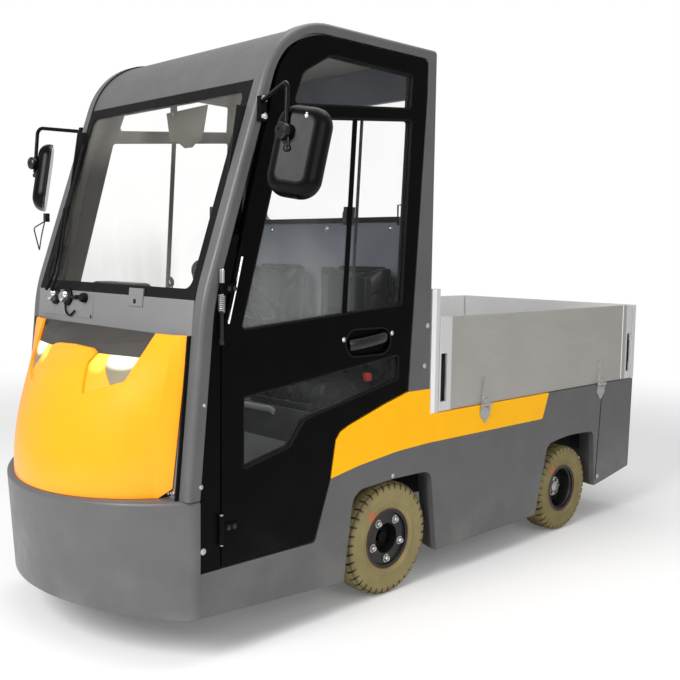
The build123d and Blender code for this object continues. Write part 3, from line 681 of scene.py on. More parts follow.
# Windscreen with a pale band of painted reflection along its top.
SCREEN_PANE = GlassFinish("bright_topped_screen", "window_glass", tone(236, 232, 222), 0.03, haze=0.012,
                          rim=0.30, painted_reflection=0.05, reflection_low=(1.50, 1.66), reflection_high=(2.1, 2.0),
                          reflection_along=(0.1, 0.0))
MIRROR_GLASS = Finish("mirror_silver", "hinge_steel", tone(215, 220, 222), 0.03, metallic=1.0, mottle=0.02,
                      edge=0.0)
RUBBER = PebbledFinish("black_rubber", "seal_rubber", tone(11, 11, 11), 0.5, specular=0.14, mottle=0.2,
                       grain=0.00015, grain_scale=1400.0, edge=0.001)
DARK_PANEL = PebbledFinish("grained_dark_plastic", "nose_dark", tone(58, 55, 52), 0.5, specular=0.35,
                           mottle=0.1, grain=0.0002, grain_scale=1100.0)
PLASTIC = PebbledFinish("black_moulded_plastic", "control_black", tone(13, 13, 15), 0.26, specular=0.42,
                        mottle=0.1, grain=0.00008, grain_scale=1600.0)
LINING = PebbledFinish("grey_cab_lining", "cab_lining", tone(150, 153, 157), 0.55, mottle=0.08, grain=0.00015,
                       grain_scale=900.0)
VINYL = PebbledFinish("black_seat_vinyl", "seat_vinyl", tone(13, 13, 14), 0.42, specular=0.3, mottle=0.12,
                      grain=0.00035, grain_scale=700.0, edge=0.0)
FRAME_BLACK = Finish("chassis_black", "frame_black", tone(18, 18, 19), 0.5, specular=0.25, mottle=0.15,
                     grain=0.0001, dust=0.15)
BATTERY = PebbledFinish("battery_case", "battery_grey", tone(60, 60, 64), 0.6, mottle=0.1, grain=0.0002)
BOARD = BedFinish("satin_board_aluminium", "board_aluminium", tone(168, 165, 160), 0.5, metallic=0.3,
                  mottle=0.05, grain=0.00004, stretch=(60.0, 1.2, 60.0))
DECK = ChequerFinish("chequer_sheet", "deck_plate", tone(150, 150, 150), 0.45, metallic=0.7, grain=0.0015)
STEEL = BrushedFinish("zinc_steel", "hinge_steel", tone(186, 186, 184), 0.36, metallic=0.85, mottle=0.08,
                      grain=0.00003, stretch=(50.0, 50.0, 8.0), edge=0.0006)
RIM_BLACK = Finish("rim_enamel", "rim_black", tone(14, 15, 16), 0.32, specular=0.3, mottle=0.15,
                   grain=0.00008, dust=0.06, edge=0.001)
RIM_LINE = Finish("rim_red_oxide", "rim_black", tone(92, 40, 36), 0.6, mottle=0.3, mottle_scale=60.0,
                  grain=0.0001)
HEADLAMP = LensFinish("headlamp_lens", "lamp_clear", tone(150, 140, 112), 0.30, coat=0.15,
                      glow=(1.0, 0.94, 0.76), strength=1.2, spot=(0.262, 0.915), reach=(0.090, 0.036),
                      core=0.1, unlit=0.62)
AMBER = LensFinish("indicator_lens", "lamp_amber", tone(250, 166, 8), 0.35, coat=0.1, glow=(1.0, 0.74, 0.20),
                   strength=0.6, spot=(0.175, 0.905), reach=(0.060, 0.045), core=0.0, unlit=0.88)
REAR_RED = LensFinish("rear_lamp_lens", "lamp_red", tone(170, 24, 20), 0.15, coat=1.0,
                      glow=(0.5, 0.02, 0.02), strength=0.15)
TYRE = TyreFinish("beige_solid_rubber", "tyre_beige", tone(136, 123, 80), 0.78, specular=0.3, mottle=0.12,
                  grain=0.0003, grain_scale=320.0, edge=0.0)
FRONT_BEIGE = tone(142, 129, 84)
REAR_BEIGE = tone(128, 116, 73)
SMOKED = GlassFinish("smoked_plate", "window_glass", tone(48, 45, 40), 0.35, haze=0.95, rim=0.15,
                     specular=0.08)
BUCKLE_RED = Finish("red_buckle", "control_black", tone(196, 52, 48), 0.4, mottle=0.05, grain=0.0001)
GLOSS_BLACK = Finish("gloss_black_trim", "seal_rubber", tone(12, 12, 12), 0.14, coat=0.6, mottle=0.1,
                     edge=0.0)
CHROME = Finish("bright_plated_steel", "hinge_steel", tone(206, 206, 206), 0.12, metallic=1.0, mottle=0.03,
                edge=0.0006)
# Body grey lightened on the apron as a painted sky reflection.
COWL = LinedFinish("pale_grey_apron", "body_grey", tone(112, 112, 113), 0.36, coat=0.12, grain=0.0001,
                   grain_scale=420.0, edge=0.0015)
DASH = PebbledFinish("black_dash_moulding", "cab_lining", tone(20, 20, 21), 0.5, specular=0.3, mottle=0.1,
                     grain=0.00012, grain_scale=1200.0)
WALL = PebbledFinish("shaded_rear_lining", "cab_lining", tone(92, 97, 105), 0.55, mottle=0.08, grain=0.00015,
                     grain_scale=900.0)
# Seat box colours lightened beyond the lining's own as painted light, for the dim cab.
BOX = BoxFinish("seat_box_lining", "cab_lining", tone(248, 250, 252), 0.5, mottle=0.12, grain=0.00015,
                grain_scale=900.0)
# Chassis black darkened as painted shade, for knuckles seen deep in the rims' bores.
HUB_PAINTED_SHADE = Finish("axle_black", "frame_black", tone(7, 7, 7), 0.6, specular=0.1, mottle=0.15, grain=0.0001)
TRIM_WHITE = Finish("white_edge_trim", "cab_lining", tone(238, 240, 242), 0.4, mottle=0.04, grain=0.0001)
SHELL = PebbledFinish("mirror_shell_black", "control_black", tone(6, 6, 7), 0.27, specular=0.11, mottle=0.1,
                      grain=0.00003, grain_scale=1600.0)
NODE_FINISHES = {"mirrors": SHELL, "cowl_panel": COWL, "dashboard": DASH, "door_glass_left": DOOR_PANE,
                 "door_glass_right": DOOR_PANE, "windscreen": SCREEN_PANE, "stripe_panel_left": STRIPE,
                 "stripe_panel_right": STRIPE, "cab_rear_wall": WALL, "seat_box": BOX,
                 "knuckle_left": HUB_PAINTED_SHADE, "knuckle_right": HUB_PAINTED_SHADE}
SLOT_FINISHES = {f.slot: f for f in (TYRE, BODY_GREY, YELLOW, DOOR_BLACK, GLASS, RUBBER, DARK_PANEL, AMBER,
                                     LINING, VINYL, FRAME_BLACK, BATTERY, BOARD, DECK, STEEL, RIM_BLACK,
                                     PLASTIC, HEADLAMP, REAR_RED)}


def facing(origin: Sequence[float], normal: Sequence[float],
           across: Sequence[float] = (0.0, 0.0, 1.0)) -> Matrix:
    """Frame at a point.

    Args:
        origin: Place of the frame.
        normal: Direction of its Z axis.
        across: Direction near its X axis.

    Returns:
        The frame as a matrix.
    """
    z = Vector(normal).normalized()
    x = Vector(across)
    x = x - z * x.dot(z)
    if x.length < 1e-6:
        x = z.orthogonal()
    x.normalize()
    turn = Matrix((x, z.cross(x), z)).transposed().to_4x4()
    return Matrix.Translation(Vector(origin)) @ turn


def on_side(x: float, y: float, z: float) -> Matrix:
    """Frame at a point of the left side, facing out."""
    return facing((x, y, z), (1, 0, 0), (0, 1, 0))


def rounded(path: Sequence[Sequence[float]], radius: float, steps: int = 6) -> list[Vector]:
    """Path with its inner corners rounded.

    Args:
        path: Corners.
        radius: Distance from a corner at which its curve starts.
        steps: Parts of each curve.

    Returns:
        The path's points.
    """
    corners = [Vector(p) for p in path]
    points = [corners[0]]
    for before, corner, after in zip(corners, corners[1:], corners[2:]):
        reach = min(radius, (before - corner).length / 2, (after - corner).length / 2)
        start = corner + (before - corner).normalized() * reach
        end = corner + (after - corner).normalized() * reach
        for i in range(steps + 1):
            t = i / steps
            points.append(start.lerp(corner, t).lerp(corner.lerp(end, t), t))
    return points + [corners[-1]]


class Head(Enum):
    """Shapes of a fastener's head."""

    HEXAGON = "hexagon"
    PAN = "pan"


class Shape:
    """Mesh under construction."""

    def __init__(self) -> None:
        """Start with no faces."""
        self.mesh = bmesh.new()

    def ring(self, points: Iterable[Sequence[float]]) -> list[bmesh.types.BMVert]:
        """Vertices at the points."""
        return [self.mesh.verts.new(p) for p in points]

    def skin(self, rings: Sequence[Sequence[bmesh.types.BMVert]], closed: bool = False,
             round_trip: bool = True) -> None:
        """Faces between rings of equal length, with the end rings filled where it isn't closed.

        Args:
            rings: Rings of vertices.
            closed: Whether the last ring joins the first.
            round_trip: Whether each ring closes on itself.
        """
        count = len(rings[0])
        pairs = list(zip(rings, rings[1:])) + ([(rings[-1], rings[0])] if closed else [])
        for near, far in pairs:
            for i in range(count if round_trip else count - 1):
                j = (i + 1) % count
                self.mesh.faces.new((near[i], near[j], far[j], far[i]))
        if not closed:
            self.mesh.faces.new(list(reversed(rings[0])))
            self.mesh.faces.new(rings[-1])

    def prism(self, outline: Sequence[Sequence[float]], shift: Sequence[float]) -> None:
        """Closed body between an outline and the same outline moved by a shift.

        Args:
            outline: Corners in order.
            shift: Way from the near outline to the far one.
        """
        near = self.ring(outline)
        far = self.ring(Vector(p) + Vector(shift) for p in outline)
        self.skin([near, far])

    def box(self, low: Sequence[float], high: Sequence[float]) -> None:
        """Box between two corners."""
        (x0, y0, z0), (x1, y1, z1) = low, high
        self.prism([(x0, y0, z0), (x1, y0, z0), (x1, y1, z0), (x0, y1, z0)], (0, 0, z1 - z0))

    def lathe(self, profile: Sequence[Pair], at: Matrix, steps: int = 32, closed: bool = False) -> None:
        """Body turned about the frame's Z axis.

        Args:
            profile: Radius and height of its points.
            at: Frame that it stands in.
            steps: Steps of the turn.
            closed: Whether the profile closes on itself, as a ring's does.
        """
        rings = []
        for i in range(steps):
            turn = 2 * math.pi * i / steps
            rings.append(self.ring(at @ Vector((r * math.cos(turn), r * math.sin(turn), h))
                                   for r, h in profile))
        self.skin(rings, closed=True, round_trip=closed)
        if not closed:
            bmesh.ops.contextual_create(self.mesh, geom=[r[0] for r in rings])
            bmesh.ops.contextual_create(self.mesh, geom=[r[-1] for r in rings])

    def tube(self, path: Sequence[Sequence[float]], radius: float, sides: int = 10, closed: bool = False,
             flat: float = 1.0, toward: Sequence[float] | None = None) -> None:
        """Round or flattened bar along a path.

        Args:
            path: Points of its middle line.
            radius: Its radius across the flattening.
            sides: Sides of its section.
            closed: Whether the path is a loop.
            flat: Share to which it is flattened.
            toward: Direction in which it is flattened.
        """
        points = [Vector(p) for p in path]
        count = len(points)
        rings = []
        across = None
        for i, point in enumerate(points):
            ahead = points[(i + 1) % count] if closed or i < count - 1 else point
            behind = points[i - 1] if closed or i > 0 else point
            run = (ahead - behind).normalized()
            if toward is not None:
                across = Vector(toward)
            elif across is None:
                across = run.orthogonal()
            across = (across - run * across.dot(run)).normalized()
            side = run.cross(across)
            rings.append(self.ring(
                point + across * (math.cos(a) * radius * flat) + side * (math.sin(a) * radius)
                for a in (2 * math.pi * k / sides for k in range(sides))))
        self.skin(rings, closed=closed)

    def fastener(self, at: Matrix, radius: float, height: float, head: Head = Head.HEXAGON) -> None:
        """Washer with a nut or screw head on it.

        Args:
            at: Frame on the surface, Z outwards.
            radius: Radius of the head.
            height: Height of the head over the surface.
            head: Its shape.
        """
        wash = 0.18 * height
        self.lathe([(1.35 * radius, -0.0005), (1.35 * radius, wash), (0.9 * radius, wash)], at, 20)
        if head is Head.HEXAGON:
            self.lathe([(radius, wash), (radius, 0.8 * height), (0.86 * radius, height)], at, 6)
            bolt_end = [(0.5 * radius, height), (0.5 * radius, 1.2 * height), (0.42 * radius, 1.28 * height)]
            self.lathe(bolt_end, at, 12)
        else:
            arc = [(radius * math.cos(a), wash + (height - wash) * math.sin(a))
                   for a in (math.radians(d) for d in (0, 20, 40, 60, 78))]
            self.lathe(arc, at, 20)

    def build(self, name: str, finish: Finish, body: str, bevel: float = 0.0, smooth: float = 35.0,
              origin: Sequence[float] = (0.0, 0.0, 0.0)) -> bpy.types.Object:
        """Turn the mesh into a piece on a body.

        Args:
            name: The piece's name.
            finish: Its finish.
            body: Body that it rides on.
            bevel: Width of the bevel on its edges, in metres.
            smooth: Angle above which an edge stays sharp, in degrees.
            origin: Place of the piece's own origin.

        Returns:
            The piece.
        """
        bmesh.ops.remove_doubles(self.mesh, verts=self.mesh.verts, dist=1e-6)
        bmesh.ops.recalc_face_normals(self.mesh, faces=self.mesh.faces)
        data = bpy.data.meshes.new(name)
        self.mesh.to_mesh(data)
        self.mesh.free()
        data.transform(Matrix.Translation(-Vector(origin)))
        data.shade_smooth()
        data.set_sharp_from_angle(angle=math.radians(smooth))
        piece = bpy.data.objects.new(name, data)
        piece.location = origin
        bpy.context.scene.collection.objects.link(piece)
        if bevel:
            edge = piece.modifiers.new("edges", "BEVEL")
            edge.width, edge.segments, edge.limit_method = bevel, 2, "ANGLE"
            edge.harden_normals = True
        data.materials.append(finish.material())
        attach(piece, body)
        log.info("%s: %d faces on %s", name, len(data.polygons), body)
        return piece

    def pair(self, name: str, finish: Finish, body: str, **options: float) -> None:
        """Build the left piece and the right one, its mirror image.

        Args:
            name: Name before the side.
            finish: Finish of both.
            body: Body, with {side} where the side's name goes.
            options: What build also takes.
        """
        twin = Shape()
        twin.mesh.free()
        twin.mesh = self.mesh.copy()
        bmesh.ops.transform(twin.mesh, matrix=Matrix.Scale(-1, 4, (1, 0, 0)), verts=twin.mesh.verts)
        for side, shape in ((LEFT, self), (RIGHT, twin)):
            word = SIDE_NAMES[side]
            shape.build(f"{name}_{word}", finish, body.format(side=word), **options)


def node_loops(node: str, normal: Sequence[float]) -> list[list[Vector]]:
    """Outlines of a CAD node's flat faces.

    Args:
        node: Name of the node.
        normal: Direction that the faces look in.

    Returns:
        Ordered loops of points, the longest first.
    """
    data = frame["nodes"][node].data
    work = bmesh.new()
    work.from_mesh(data)
    way = Vector(normal).normalized()
    extra = [f for f in work.faces if f.normal.dot(way) < 0.999]
    bmesh.ops.delete(work, geom=extra, context="FACES")
    bmesh.ops.remove_doubles(work, verts=work.verts, dist=1e-5)
    left = {e for e in work.edges if len(e.link_faces) == 1}
    loops = []
    while left:
        edge = left.pop()
        first, here = edge.verts
        loop = [first.co.copy()]
        while here is not first:
            loop.append(here.co.copy())
            following = next(e for e in here.link_edges if e in left)
            left.discard(following)
            here = following.other_vert(here)
        loops.append(loop)
    work.free()
    return sorted(loops, key=lambda points: -sum((a - b).length for a, b in zip(points, points[1:])))


@dataclass
class ViewPoint:
    """Camera where the photograph was taken from."""

    place: Place = (2.69412, -2.70794, 1.256)
    azimuth: float = 45.666
    downward: float = 5.6295
    roll: float = 0.784
    lens: float = 47.828
    sensor: float = 36.0

    def build(self) -> None:
        """Put the camera in the scene."""
        a, e, r = (math.radians(v) for v in (self.azimuth, self.downward, self.roll))
        ahead = Vector((-math.sin(a) * math.cos(e), math.cos(a) * math.cos(e), -math.sin(e)))
        right = Vector((math.cos(a), math.sin(a), 0.0))
        up = right.cross(ahead)
        turned = (right * math.cos(r) + up * math.sin(r), up * math.cos(r) - right * math.sin(r), -ahead)
        lens = bpy.data.cameras.new("view")
        lens.sensor_width = self.sensor
        lens.lens = self.lens
        camera = bpy.data.objects.new("view", lens)
        camera.matrix_world = Matrix.Translation(self.place) @ Matrix(turned).transposed().to_4x4()
        bpy.context.scene.collection.objects.link(camera)
        bpy.context.scene.camera = camera


class Light(Enum):
    """Soft lamps of the studio: place, size in metres and power in watts."""

    KEY = ((0.9, -4.7, 3.3), 2.6, 240.0)
    OVERHEAD = ((0.0, 0.4, 4.6), 4.0, 88.0)
    SIDE = ((4.6, -1.0, 2.4), 3.0, 44.0)


@dataclass
class Studio:
    """Pale floor, white background and soft light."""

    floor_size: float = 40.0
    ambient: float = 0.52
    lift: float = 0.10
    fade: Pair = (2.2, 6.5)
    aim: Place = (0.0, -0.2, 0.8)

    def build(self) -> None:
        """Make the world, the floor and the lamps."""
        bpy.context.scene.view_settings.view_transform = "Standard"
        self.build_world()
        self.build_floor()
        for light in Light:
            place, size, power = light.value
            lamp = bpy.data.lights.new(light.name.lower(), "AREA")
            lamp.shape, lamp.size, lamp.energy = "DISK", size, power
            holder = bpy.data.objects.new(light.name.lower(), lamp)
            turn = (Vector(self.aim) - Vector(place)).to_track_quat("-Z", "Y")
            holder.matrix_world = Matrix.Translation(place) @ turn.to_matrix().to_4x4()
            bpy.context.scene.collection.objects.link(holder)

    def build_world(self) -> None:
        """White where the camera sees it, straight or through glass, and softer as a light."""
        world = bpy.data.worlds.new("studio")
        world.use_nodes = True
        bpy.context.scene.world = world
        nodes = Nodes(world.node_tree)
        path = nodes.node("ShaderNodeLightPath")
        seen = nodes.node("ShaderNodeMath", {"operation": "MAXIMUM"},
                          {0: path.outputs["Is Camera Ray"], 1: path.outputs["Is Transmission Ray"]})
        shown = nodes.node("ShaderNodeBackground", inputs={"Color": WHITE})
        soft = nodes.node("ShaderNodeBackground", inputs={"Color": WHITE, "Strength": self.ambient})
        choice = nodes.node("ShaderNodeMixShader",
                            inputs={0: seen.outputs[0], 1: soft.outputs[0], 2: shown.outputs[0]})
        nodes.node("ShaderNodeOutputWorld", inputs={0: choice.outputs[0]})

    def build_floor(self) -> None:
        """Wide pale floor that keeps the shadow and fades into the background."""
        shader = Shader("pale_floor")
        shader.fix({"Roughness": 0.9, "Specular IOR Level": 0.1})
        x, y, _ = shader.axes()
        away = ((x * x + y * y) ** 0.5).step(*self.fade)
        spots = shader.noise(30.0, 4.0)
        shader.feed("Base Color", shader.mix(spots, (0.86, 0.86, 0.86), (0.88, 0.88, 0.88)))
        seen = Term(shader, shader.node("ShaderNodeLightPath").outputs["Is Camera Ray"])
        white = shader.node("ShaderNodeEmission", inputs={"Color": WHITE})
        share = seen * (self.lift + away * (1 - self.lift))
        blend = shader.node("ShaderNodeMixShader",
                            inputs={0: share, 1: shader.surface.outputs[0], 2: white.outputs[0]})
        shader.tree.links.new(blend.outputs[0], shader.output.inputs["Surface"])
        half = self.floor_size / 2
        data = bpy.data.meshes.new("floor")
        corners = [(-half, -half, 0), (half, -half, 0), (half, half, 0), (-half, half, 0)]
        data.from_pydata(corners, [], [(0, 1, 2, 3)])
        data.materials.append(shader.material)
        floor = bpy.data.objects.new("floor", data)
        bpy.context.scene.collection.objects.link(floor)


@dataclass(frozen=True)
class TyreStation:
    """Row of a tyre's section.

    It lies at side from the middle and drop below the tread. A groove takes cut_side and cut_drop off
    there, and skew turns the row by that share of a lug.
    """

    side: float
    drop: float
    cut_side: float = 0.0
    cut_drop: float = 0.0
    skew: float = 0.0


@dataclass
class Wheel:
    """Solid tyre with shoulder lugs on a black steel rim, whose hub lies deep behind."""

    name: str
    side: int
    radius: float
    width: float
    rim: float
    lugs: int
    deep: bool
    nut_ring: float = 0.076
    hub_ring: float = 0.034
    bead_in: float = 0.0075

    @property
    def centre(self) -> Vector:
        """Middle of the wheel."""
        low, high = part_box(f"{self.name}_tyre_{SIDE_NAMES[self.side]}")
        return (low + high) / 2

    @property
    def body(self) -> str:
        """Body that the wheel is."""
        return f"{self.name}_wheel_{SIDE_NAMES[self.side]}"

    def stations(self) -> list[TyreStation]:
        """Rows from the outer bead to the crown, on one half of the tyre.

        Returns:
            The rows in order.
        """
        half = self.width / 2
        bead = self.radius - self.rim
        rows = (
            (half - self.bead_in, bead - 0.0005), (half - 0.0055, bead - 0.004),
            (half - 0.0045, bead - 0.012), (half - 0.0005, bead - 0.017), (half, bead - 0.020),
            (half - 0.0006, bead - 0.024),
            (half - 0.0012, 0.045), (half - 0.0005, 0.034), (half - 0.0002, 0.0275),
            (half, 0.0265, 0.0025, 0.0, 0.10), (half - 0.001, 0.018, 0.005, 0.001, 0.10),
            (half - 0.004, 0.009, 0.007, 0.004, 0.08), (half - 0.010, 0.0035, 0.003, 0.008, 0.05),
            (half - 0.018, 0.0008, 0.0, 0.009, 0.0), (half * 0.42, 0.0, 0.0, 0.009, -0.10),
            (half * 0.40, 0.0, 0.0, 0.0, -0.10), (half * 0.14, 0.0), (half * 0.10, 0.004), (0.0, 0.004),
        )
        return [TyreStation(*row) for row in rows]

    def build(self) -> None:
        """Make the tyre and the rim's fittings."""
        self.build_tyre()
        self.build_rim()

    def build_tyre(self) -> None:
        """Rings of the section's rows, cut by the grooves between the lugs."""
        shape = Shape()
        centre = self.centre
        stops = ((0.0, 0.0), (0.25, 0.0), (0.5, 0.0), (0.74, 0.0), (0.78, 1.0), (0.96, 1.0))
        outer = self.stations()
        rows = [(s, 1) for s in outer] + [(s, -1) for s in reversed(outer[:-1])]
        rings = []
        for station, half in rows:
            points = []
            for lug in range(self.lugs):
                for share, cut in stops:
                    shift = station.skew + (0.5 if half < 0 else 0.0)
                    turn = 2 * math.pi * (lug + share + shift) / self.lugs
                    reach = self.radius - station.drop - cut * station.cut_drop
                    side = half * self.side * (station.side - cut * station.cut_side)
                    points.append(centre + Vector((side, reach * math.sin(turn), reach * math.cos(turn))))
            rings.append(shape.ring(points))
        shape.skin(rings, closed=True)
        finish = TyreFinish(f"beige_solid_rubber_{self.name}_{SIDE_NAMES[self.side]}", "tyre_beige",
                            REAR_BEIGE if self.deep else FRONT_BEIGE, 0.78, mottle=0.12, grain=0.0015,
                            grain_scale=320.0, radius=self.radius, edge=0.0, ring=self.rim + 0.018)
        tyre = shape.build(f"{self.name}_lugged_tyre_{SIDE_NAMES[self.side]}", finish, self.body,
                           smooth=28.0, origin=centre)
        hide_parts(f"{self.name}_tyre_{SIDE_NAMES[self.side]}")

    def build_rim(self) -> None:
        """Red-brown edge line, and the nuts in front or the hub behind."""
        way = Vector((self.side, 0, 0))
        edge = Shape()
        low, high = self.rim - 0.002, self.rim + 0.0015
        edge.lathe([(low, 0.0), (high, 0.0), (high, 0.003), (low, 0.003)],
                   facing(self.centre + way * (self.width / 2 - self.bead_in), way), 64, closed=True)
        edge.build(f"{self.name}_rim_line_{SIDE_NAMES[self.side]}", RIM_LINE, self.body)
        nuts = Shape()
        if self.deep:
            face = self.centre + way * 0.004
            nuts.lathe([(0.0445, -0.004), (0.0445, 0.004), (0.042, 0.006), (0.026, 0.006), (0.024, 0.012),
                        (0.018, 0.015)], facing(face, way), 40)
            ring, count, size = self.hub_ring, 6, 0.0052
            face = face + way * 0.006
        else:
            face = self.centre + way * (self.width / 2 - 0.014)
            ring, count, size = self.nut_ring, 5, 0.0115
        for i in range(count):
            turn = 2 * math.pi * (i + 0.5) / count
            spot = face + Vector((0, ring * math.sin(turn), ring * math.cos(turn)))
            nuts.fastener(facing(spot, way, (0, 1, 0)), size, size * 1.15)
        nuts.build(f"{self.name}_wheel_nuts_{SIDE_NAMES[self.side]}", STEEL, self.body)


@dataclass
class Seats:
    """Two padded seats on plastic pans.

    The gaps are from the cab's middle to a seat, and seam is where the seams run, as a share of the half
    width.
    """

    swell: float = 4.0
    voxel: float = 0.006
    cap: float = 0.024
    frames: int = 20
    pan: float = 0.026
    cushion_gap: float = 0.04
    back_gap: float = 0.05
    round_off: float = 0.012
    shell_y: float = 0.014
    stay_half: float = 0.1
    buckle_x: float = 0.214
    buckle_half: float = 0.010
    buckle_y: Pair = (0.190, 0.162)
    cuts: int = 12
    seam: float = 0.62

    def build(self) -> None:
        """Make cushions, backs, pans, shells, stays and belts."""
        for side in (RIGHT, LEFT):
            self.build_seat(side)

    def halves(self, node: str, side: int) -> tuple[Vector, Vector]:
        """Corners of one seat's CAD block.

        Args:
            node: CAD node that holds both seats.
            side: Side of the cab.

        Returns:
            Lowest and highest corner.
        """
        low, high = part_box(node)
        inner = self.cushion_gap if node == "seat_cushions" else self.back_gap
        if side == LEFT:
            return Vector((inner, low.y, low.z)), Vector((high.x, high.y, high.z))
        return Vector((low.x, low.y, low.z)), Vector((-inner, high.y, high.z))

    def build_seat(self, side: int) -> None:
        """Make one seat.

        Args:
            side: Side of the cab.
        """
        word = SIDE_NAMES[side]
        low, high = self.halves("seat_cushions", side)
        pad = self.pad(f"seat_cushion_{word}", low + Vector((0.012, 0.012, self.pan - 0.004)),
                       high - Vector((0.012, 0.004, 0.022)), 2)
        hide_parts("seat_cushions")
        back_low, back_high = self.halves("seat_backs", side)
        rest = self.pad(f"seat_back_{word}", back_low + Vector((0.010, 0.020, 0.004)),
                        back_high - Vector((0.010, 0.020, 0.008)), 1)
        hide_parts("seat_backs")
        pan = Shape()
        left, right, front = low.x + 0.004, high.x - 0.004, low.y + 0.008
        pan.prism([(left, front, low.z), (right, front, low.z), (right, high.y, low.z),
                   (left, high.y, low.z)], (0, 0, self.pan))
        pan.build(f"seat_pan_{word}", PLASTIC, "chassis", bevel=0.006)
        self.build_shell(word, back_low, back_high, low.z + 0.012)
        middle = (back_low.x + back_high.x) / 2
        self.build_belt(word, Vector((middle + side * self.buckle_x, high.y, high.z)), low.z)

    def build_shell(self, word: str, low: Vector, high: Vector, foot: float) -> None:
        """Plastic shell behind a seat's back, and the two bars that carry it.

        Args:
            word: Name of the side.
            low: Lowest corner of the back's block.
            high: Its highest corner.
            foot: Height of the bars' lower ends.
        """
        shell = Shape()
        edge, cut, left, right = 0.012, 0.07, low.x, high.x
        corners = ((left + edge, low.z + 0.03), (right - edge, low.z + 0.03), (right - edge, high.z - cut),
                   (right - cut, high.z - edge), (left + cut, high.z - edge), (left + edge, high.z - cut))
        shell.prism([(x, high.y - self.shell_y, z) for x, z in corners], (0, 0.012, 0))
        shell.build(f"seat_shell_{word}", PLASTIC, "chassis", bevel=0.005)
        stay = Shape()
        middle, rear = (low.x + high.x) / 2, high.y + 0.012
        for x in (middle - self.stay_half, middle + self.stay_half):
            stay.tube(rounded([(x, rear, low.z + 0.20), (x, rear, foot), (x, high.y - 0.12, foot)], 0.03),
                      0.010, 12)
        stay.build(f"seat_stays_{word}", FRAME_BLACK, "chassis")

    def build_belt(self, word: str, top: Vector, foot: float) -> None:
        """Stem and red buckle of a belt.

        Args:
            word: Name of the side.
            top: Place over the stem at the cushion's rear edge and top.
            foot: Height of the cushion's underside.
        """
        belt = Shape()
        stem = [(top.x, top.y - 0.10, foot - 0.004), (top.x, top.y - 0.14, top.z - 0.03),
                (top.x, top.y - 0.17, top.z + 0.015)]
        belt.tube(rounded(stem, 0.03), 0.006, 10, flat=0.6, toward=(1, 0, 0))
        belt.build(f"buckle_stem_{word}", PLASTIC, "chassis")
        buckle = Shape()
        left, right, low = top.x - self.buckle_half, top.x + self.buckle_half, top.z + 0.01
        front, back = (top.y - reach for reach in self.buckle_y)
        buckle.prism([(left, front, low), (right, front, low), (right, back, low), (left, back, low)],
                     (0, -0.006, 0.030))
        buckle.build(f"buckle_{word}", BUCKLE_RED, "chassis", bevel=0.004)

    def pad(self, name: str, low: Vector, high: Vector, axis: int) -> bpy.types.Object:
        """Stuffed pad that fills a block, with sunk seams on its crown.

        Args:
            name: The piece's name.
            low: Lowest corner of the block that it swells from.
            high: Highest corner.
            axis: Axis across the pad's thickness.

        Returns:
            The pad.
        """
        shape = Shape()
        shape.box(low, high)
        bmesh.ops.bevel(shape.mesh, geom=list(shape.mesh.edges), offset=self.round_off, segments=4,
                        profile=0.5, affect="EDGES")
        size = high - low
        middle = (low + high) / 2
        spans = [i for i in range(3) if i != axis]
        for step in range(1, self.cuts):
            for i in spans:
                at = low.copy()
                at[i] = low[i] + size[i] * step / self.cuts
                way = Vector((0, 0, 0))
                way[i] = 1.0
                geom = [*shape.mesh.verts, *shape.mesh.edges, *shape.mesh.faces]
                bmesh.ops.bisect_plane(shape.mesh, geom=geom, plane_co=at, plane_no=way)
        pad = shape.build(name, VINYL, "chassis", smooth=180.0)
        count = len(pad.data.vertices)
        self.inflate(pad)
        for vert in pad.data.vertices:
            for i in range(3):
                reach = size[i] / 2 + (self.cap if i == axis else 0.010)
                vert.co[i] = max(middle[i] - reach, min(middle[i] + reach, vert.co[i]))
            u, v = ((vert.co[i] - middle[i]) / (size[i] / 2) for i in spans)
            channel = math.exp(-((abs(u) - self.seam) / 0.035) ** 2)
            channel += math.exp(-((v - 0.15) / 0.03) ** 2) * (abs(u) < self.seam)
            lift = vert.co[axis] - middle[axis]
            drop = math.copysign(min(0.006 * channel, abs(lift)), lift)
            vert.co[axis] -= drop * (max(abs(u), abs(v)) < 0.92)
        log.info("%s: %d points inflated from %d", name, len(pad.data.vertices), count)
        pad.data.shade_smooth()
        return pad

    def inflate(self, pad: bpy.types.Object) -> None:
        """Remesh the pad and swell it as cloth.

        Args:
            pad: The piece, whose mesh is replaced.
        """
        scene = bpy.context.scene
        remesh = pad.modifiers.new("grid", "REMESH")
        remesh.mode, remesh.voxel_size = "VOXEL", self.voxel
        self.settle(pad)
        cloth = pad.modifiers.new("swell", "CLOTH")
        cloth.settings.use_pressure = True
        cloth.settings.uniform_pressure_force = self.swell
        cloth.settings.effector_weights.gravity = 0.0
        cloth.settings.tension_stiffness = cloth.settings.compression_stiffness = 25.0
        cloth.point_cache.frame_start, cloth.point_cache.frame_end = 1, self.frames
        for step in range(1, self.frames + 1):
            scene.frame_set(step)
        self.settle(pad)
        scene.frame_set(1)

    def settle(self, pad: bpy.types.Object) -> None:
        """Apply the pad's modifiers to its mesh.

        Args:
            pad: The piece, whose mesh is replaced.
        """
        graph = bpy.context.evaluated_depsgraph_get()
        shaped = bpy.data.meshes.new_from_object(pad.evaluated_get(graph))
        old = pad.data
        pad.modifiers.clear()
        pad.data = shaped
        shaped.name = old.name
        if not shaped.materials:
            shaped.materials.append(VINYL.material())
        bpy.data.meshes.remove(old)


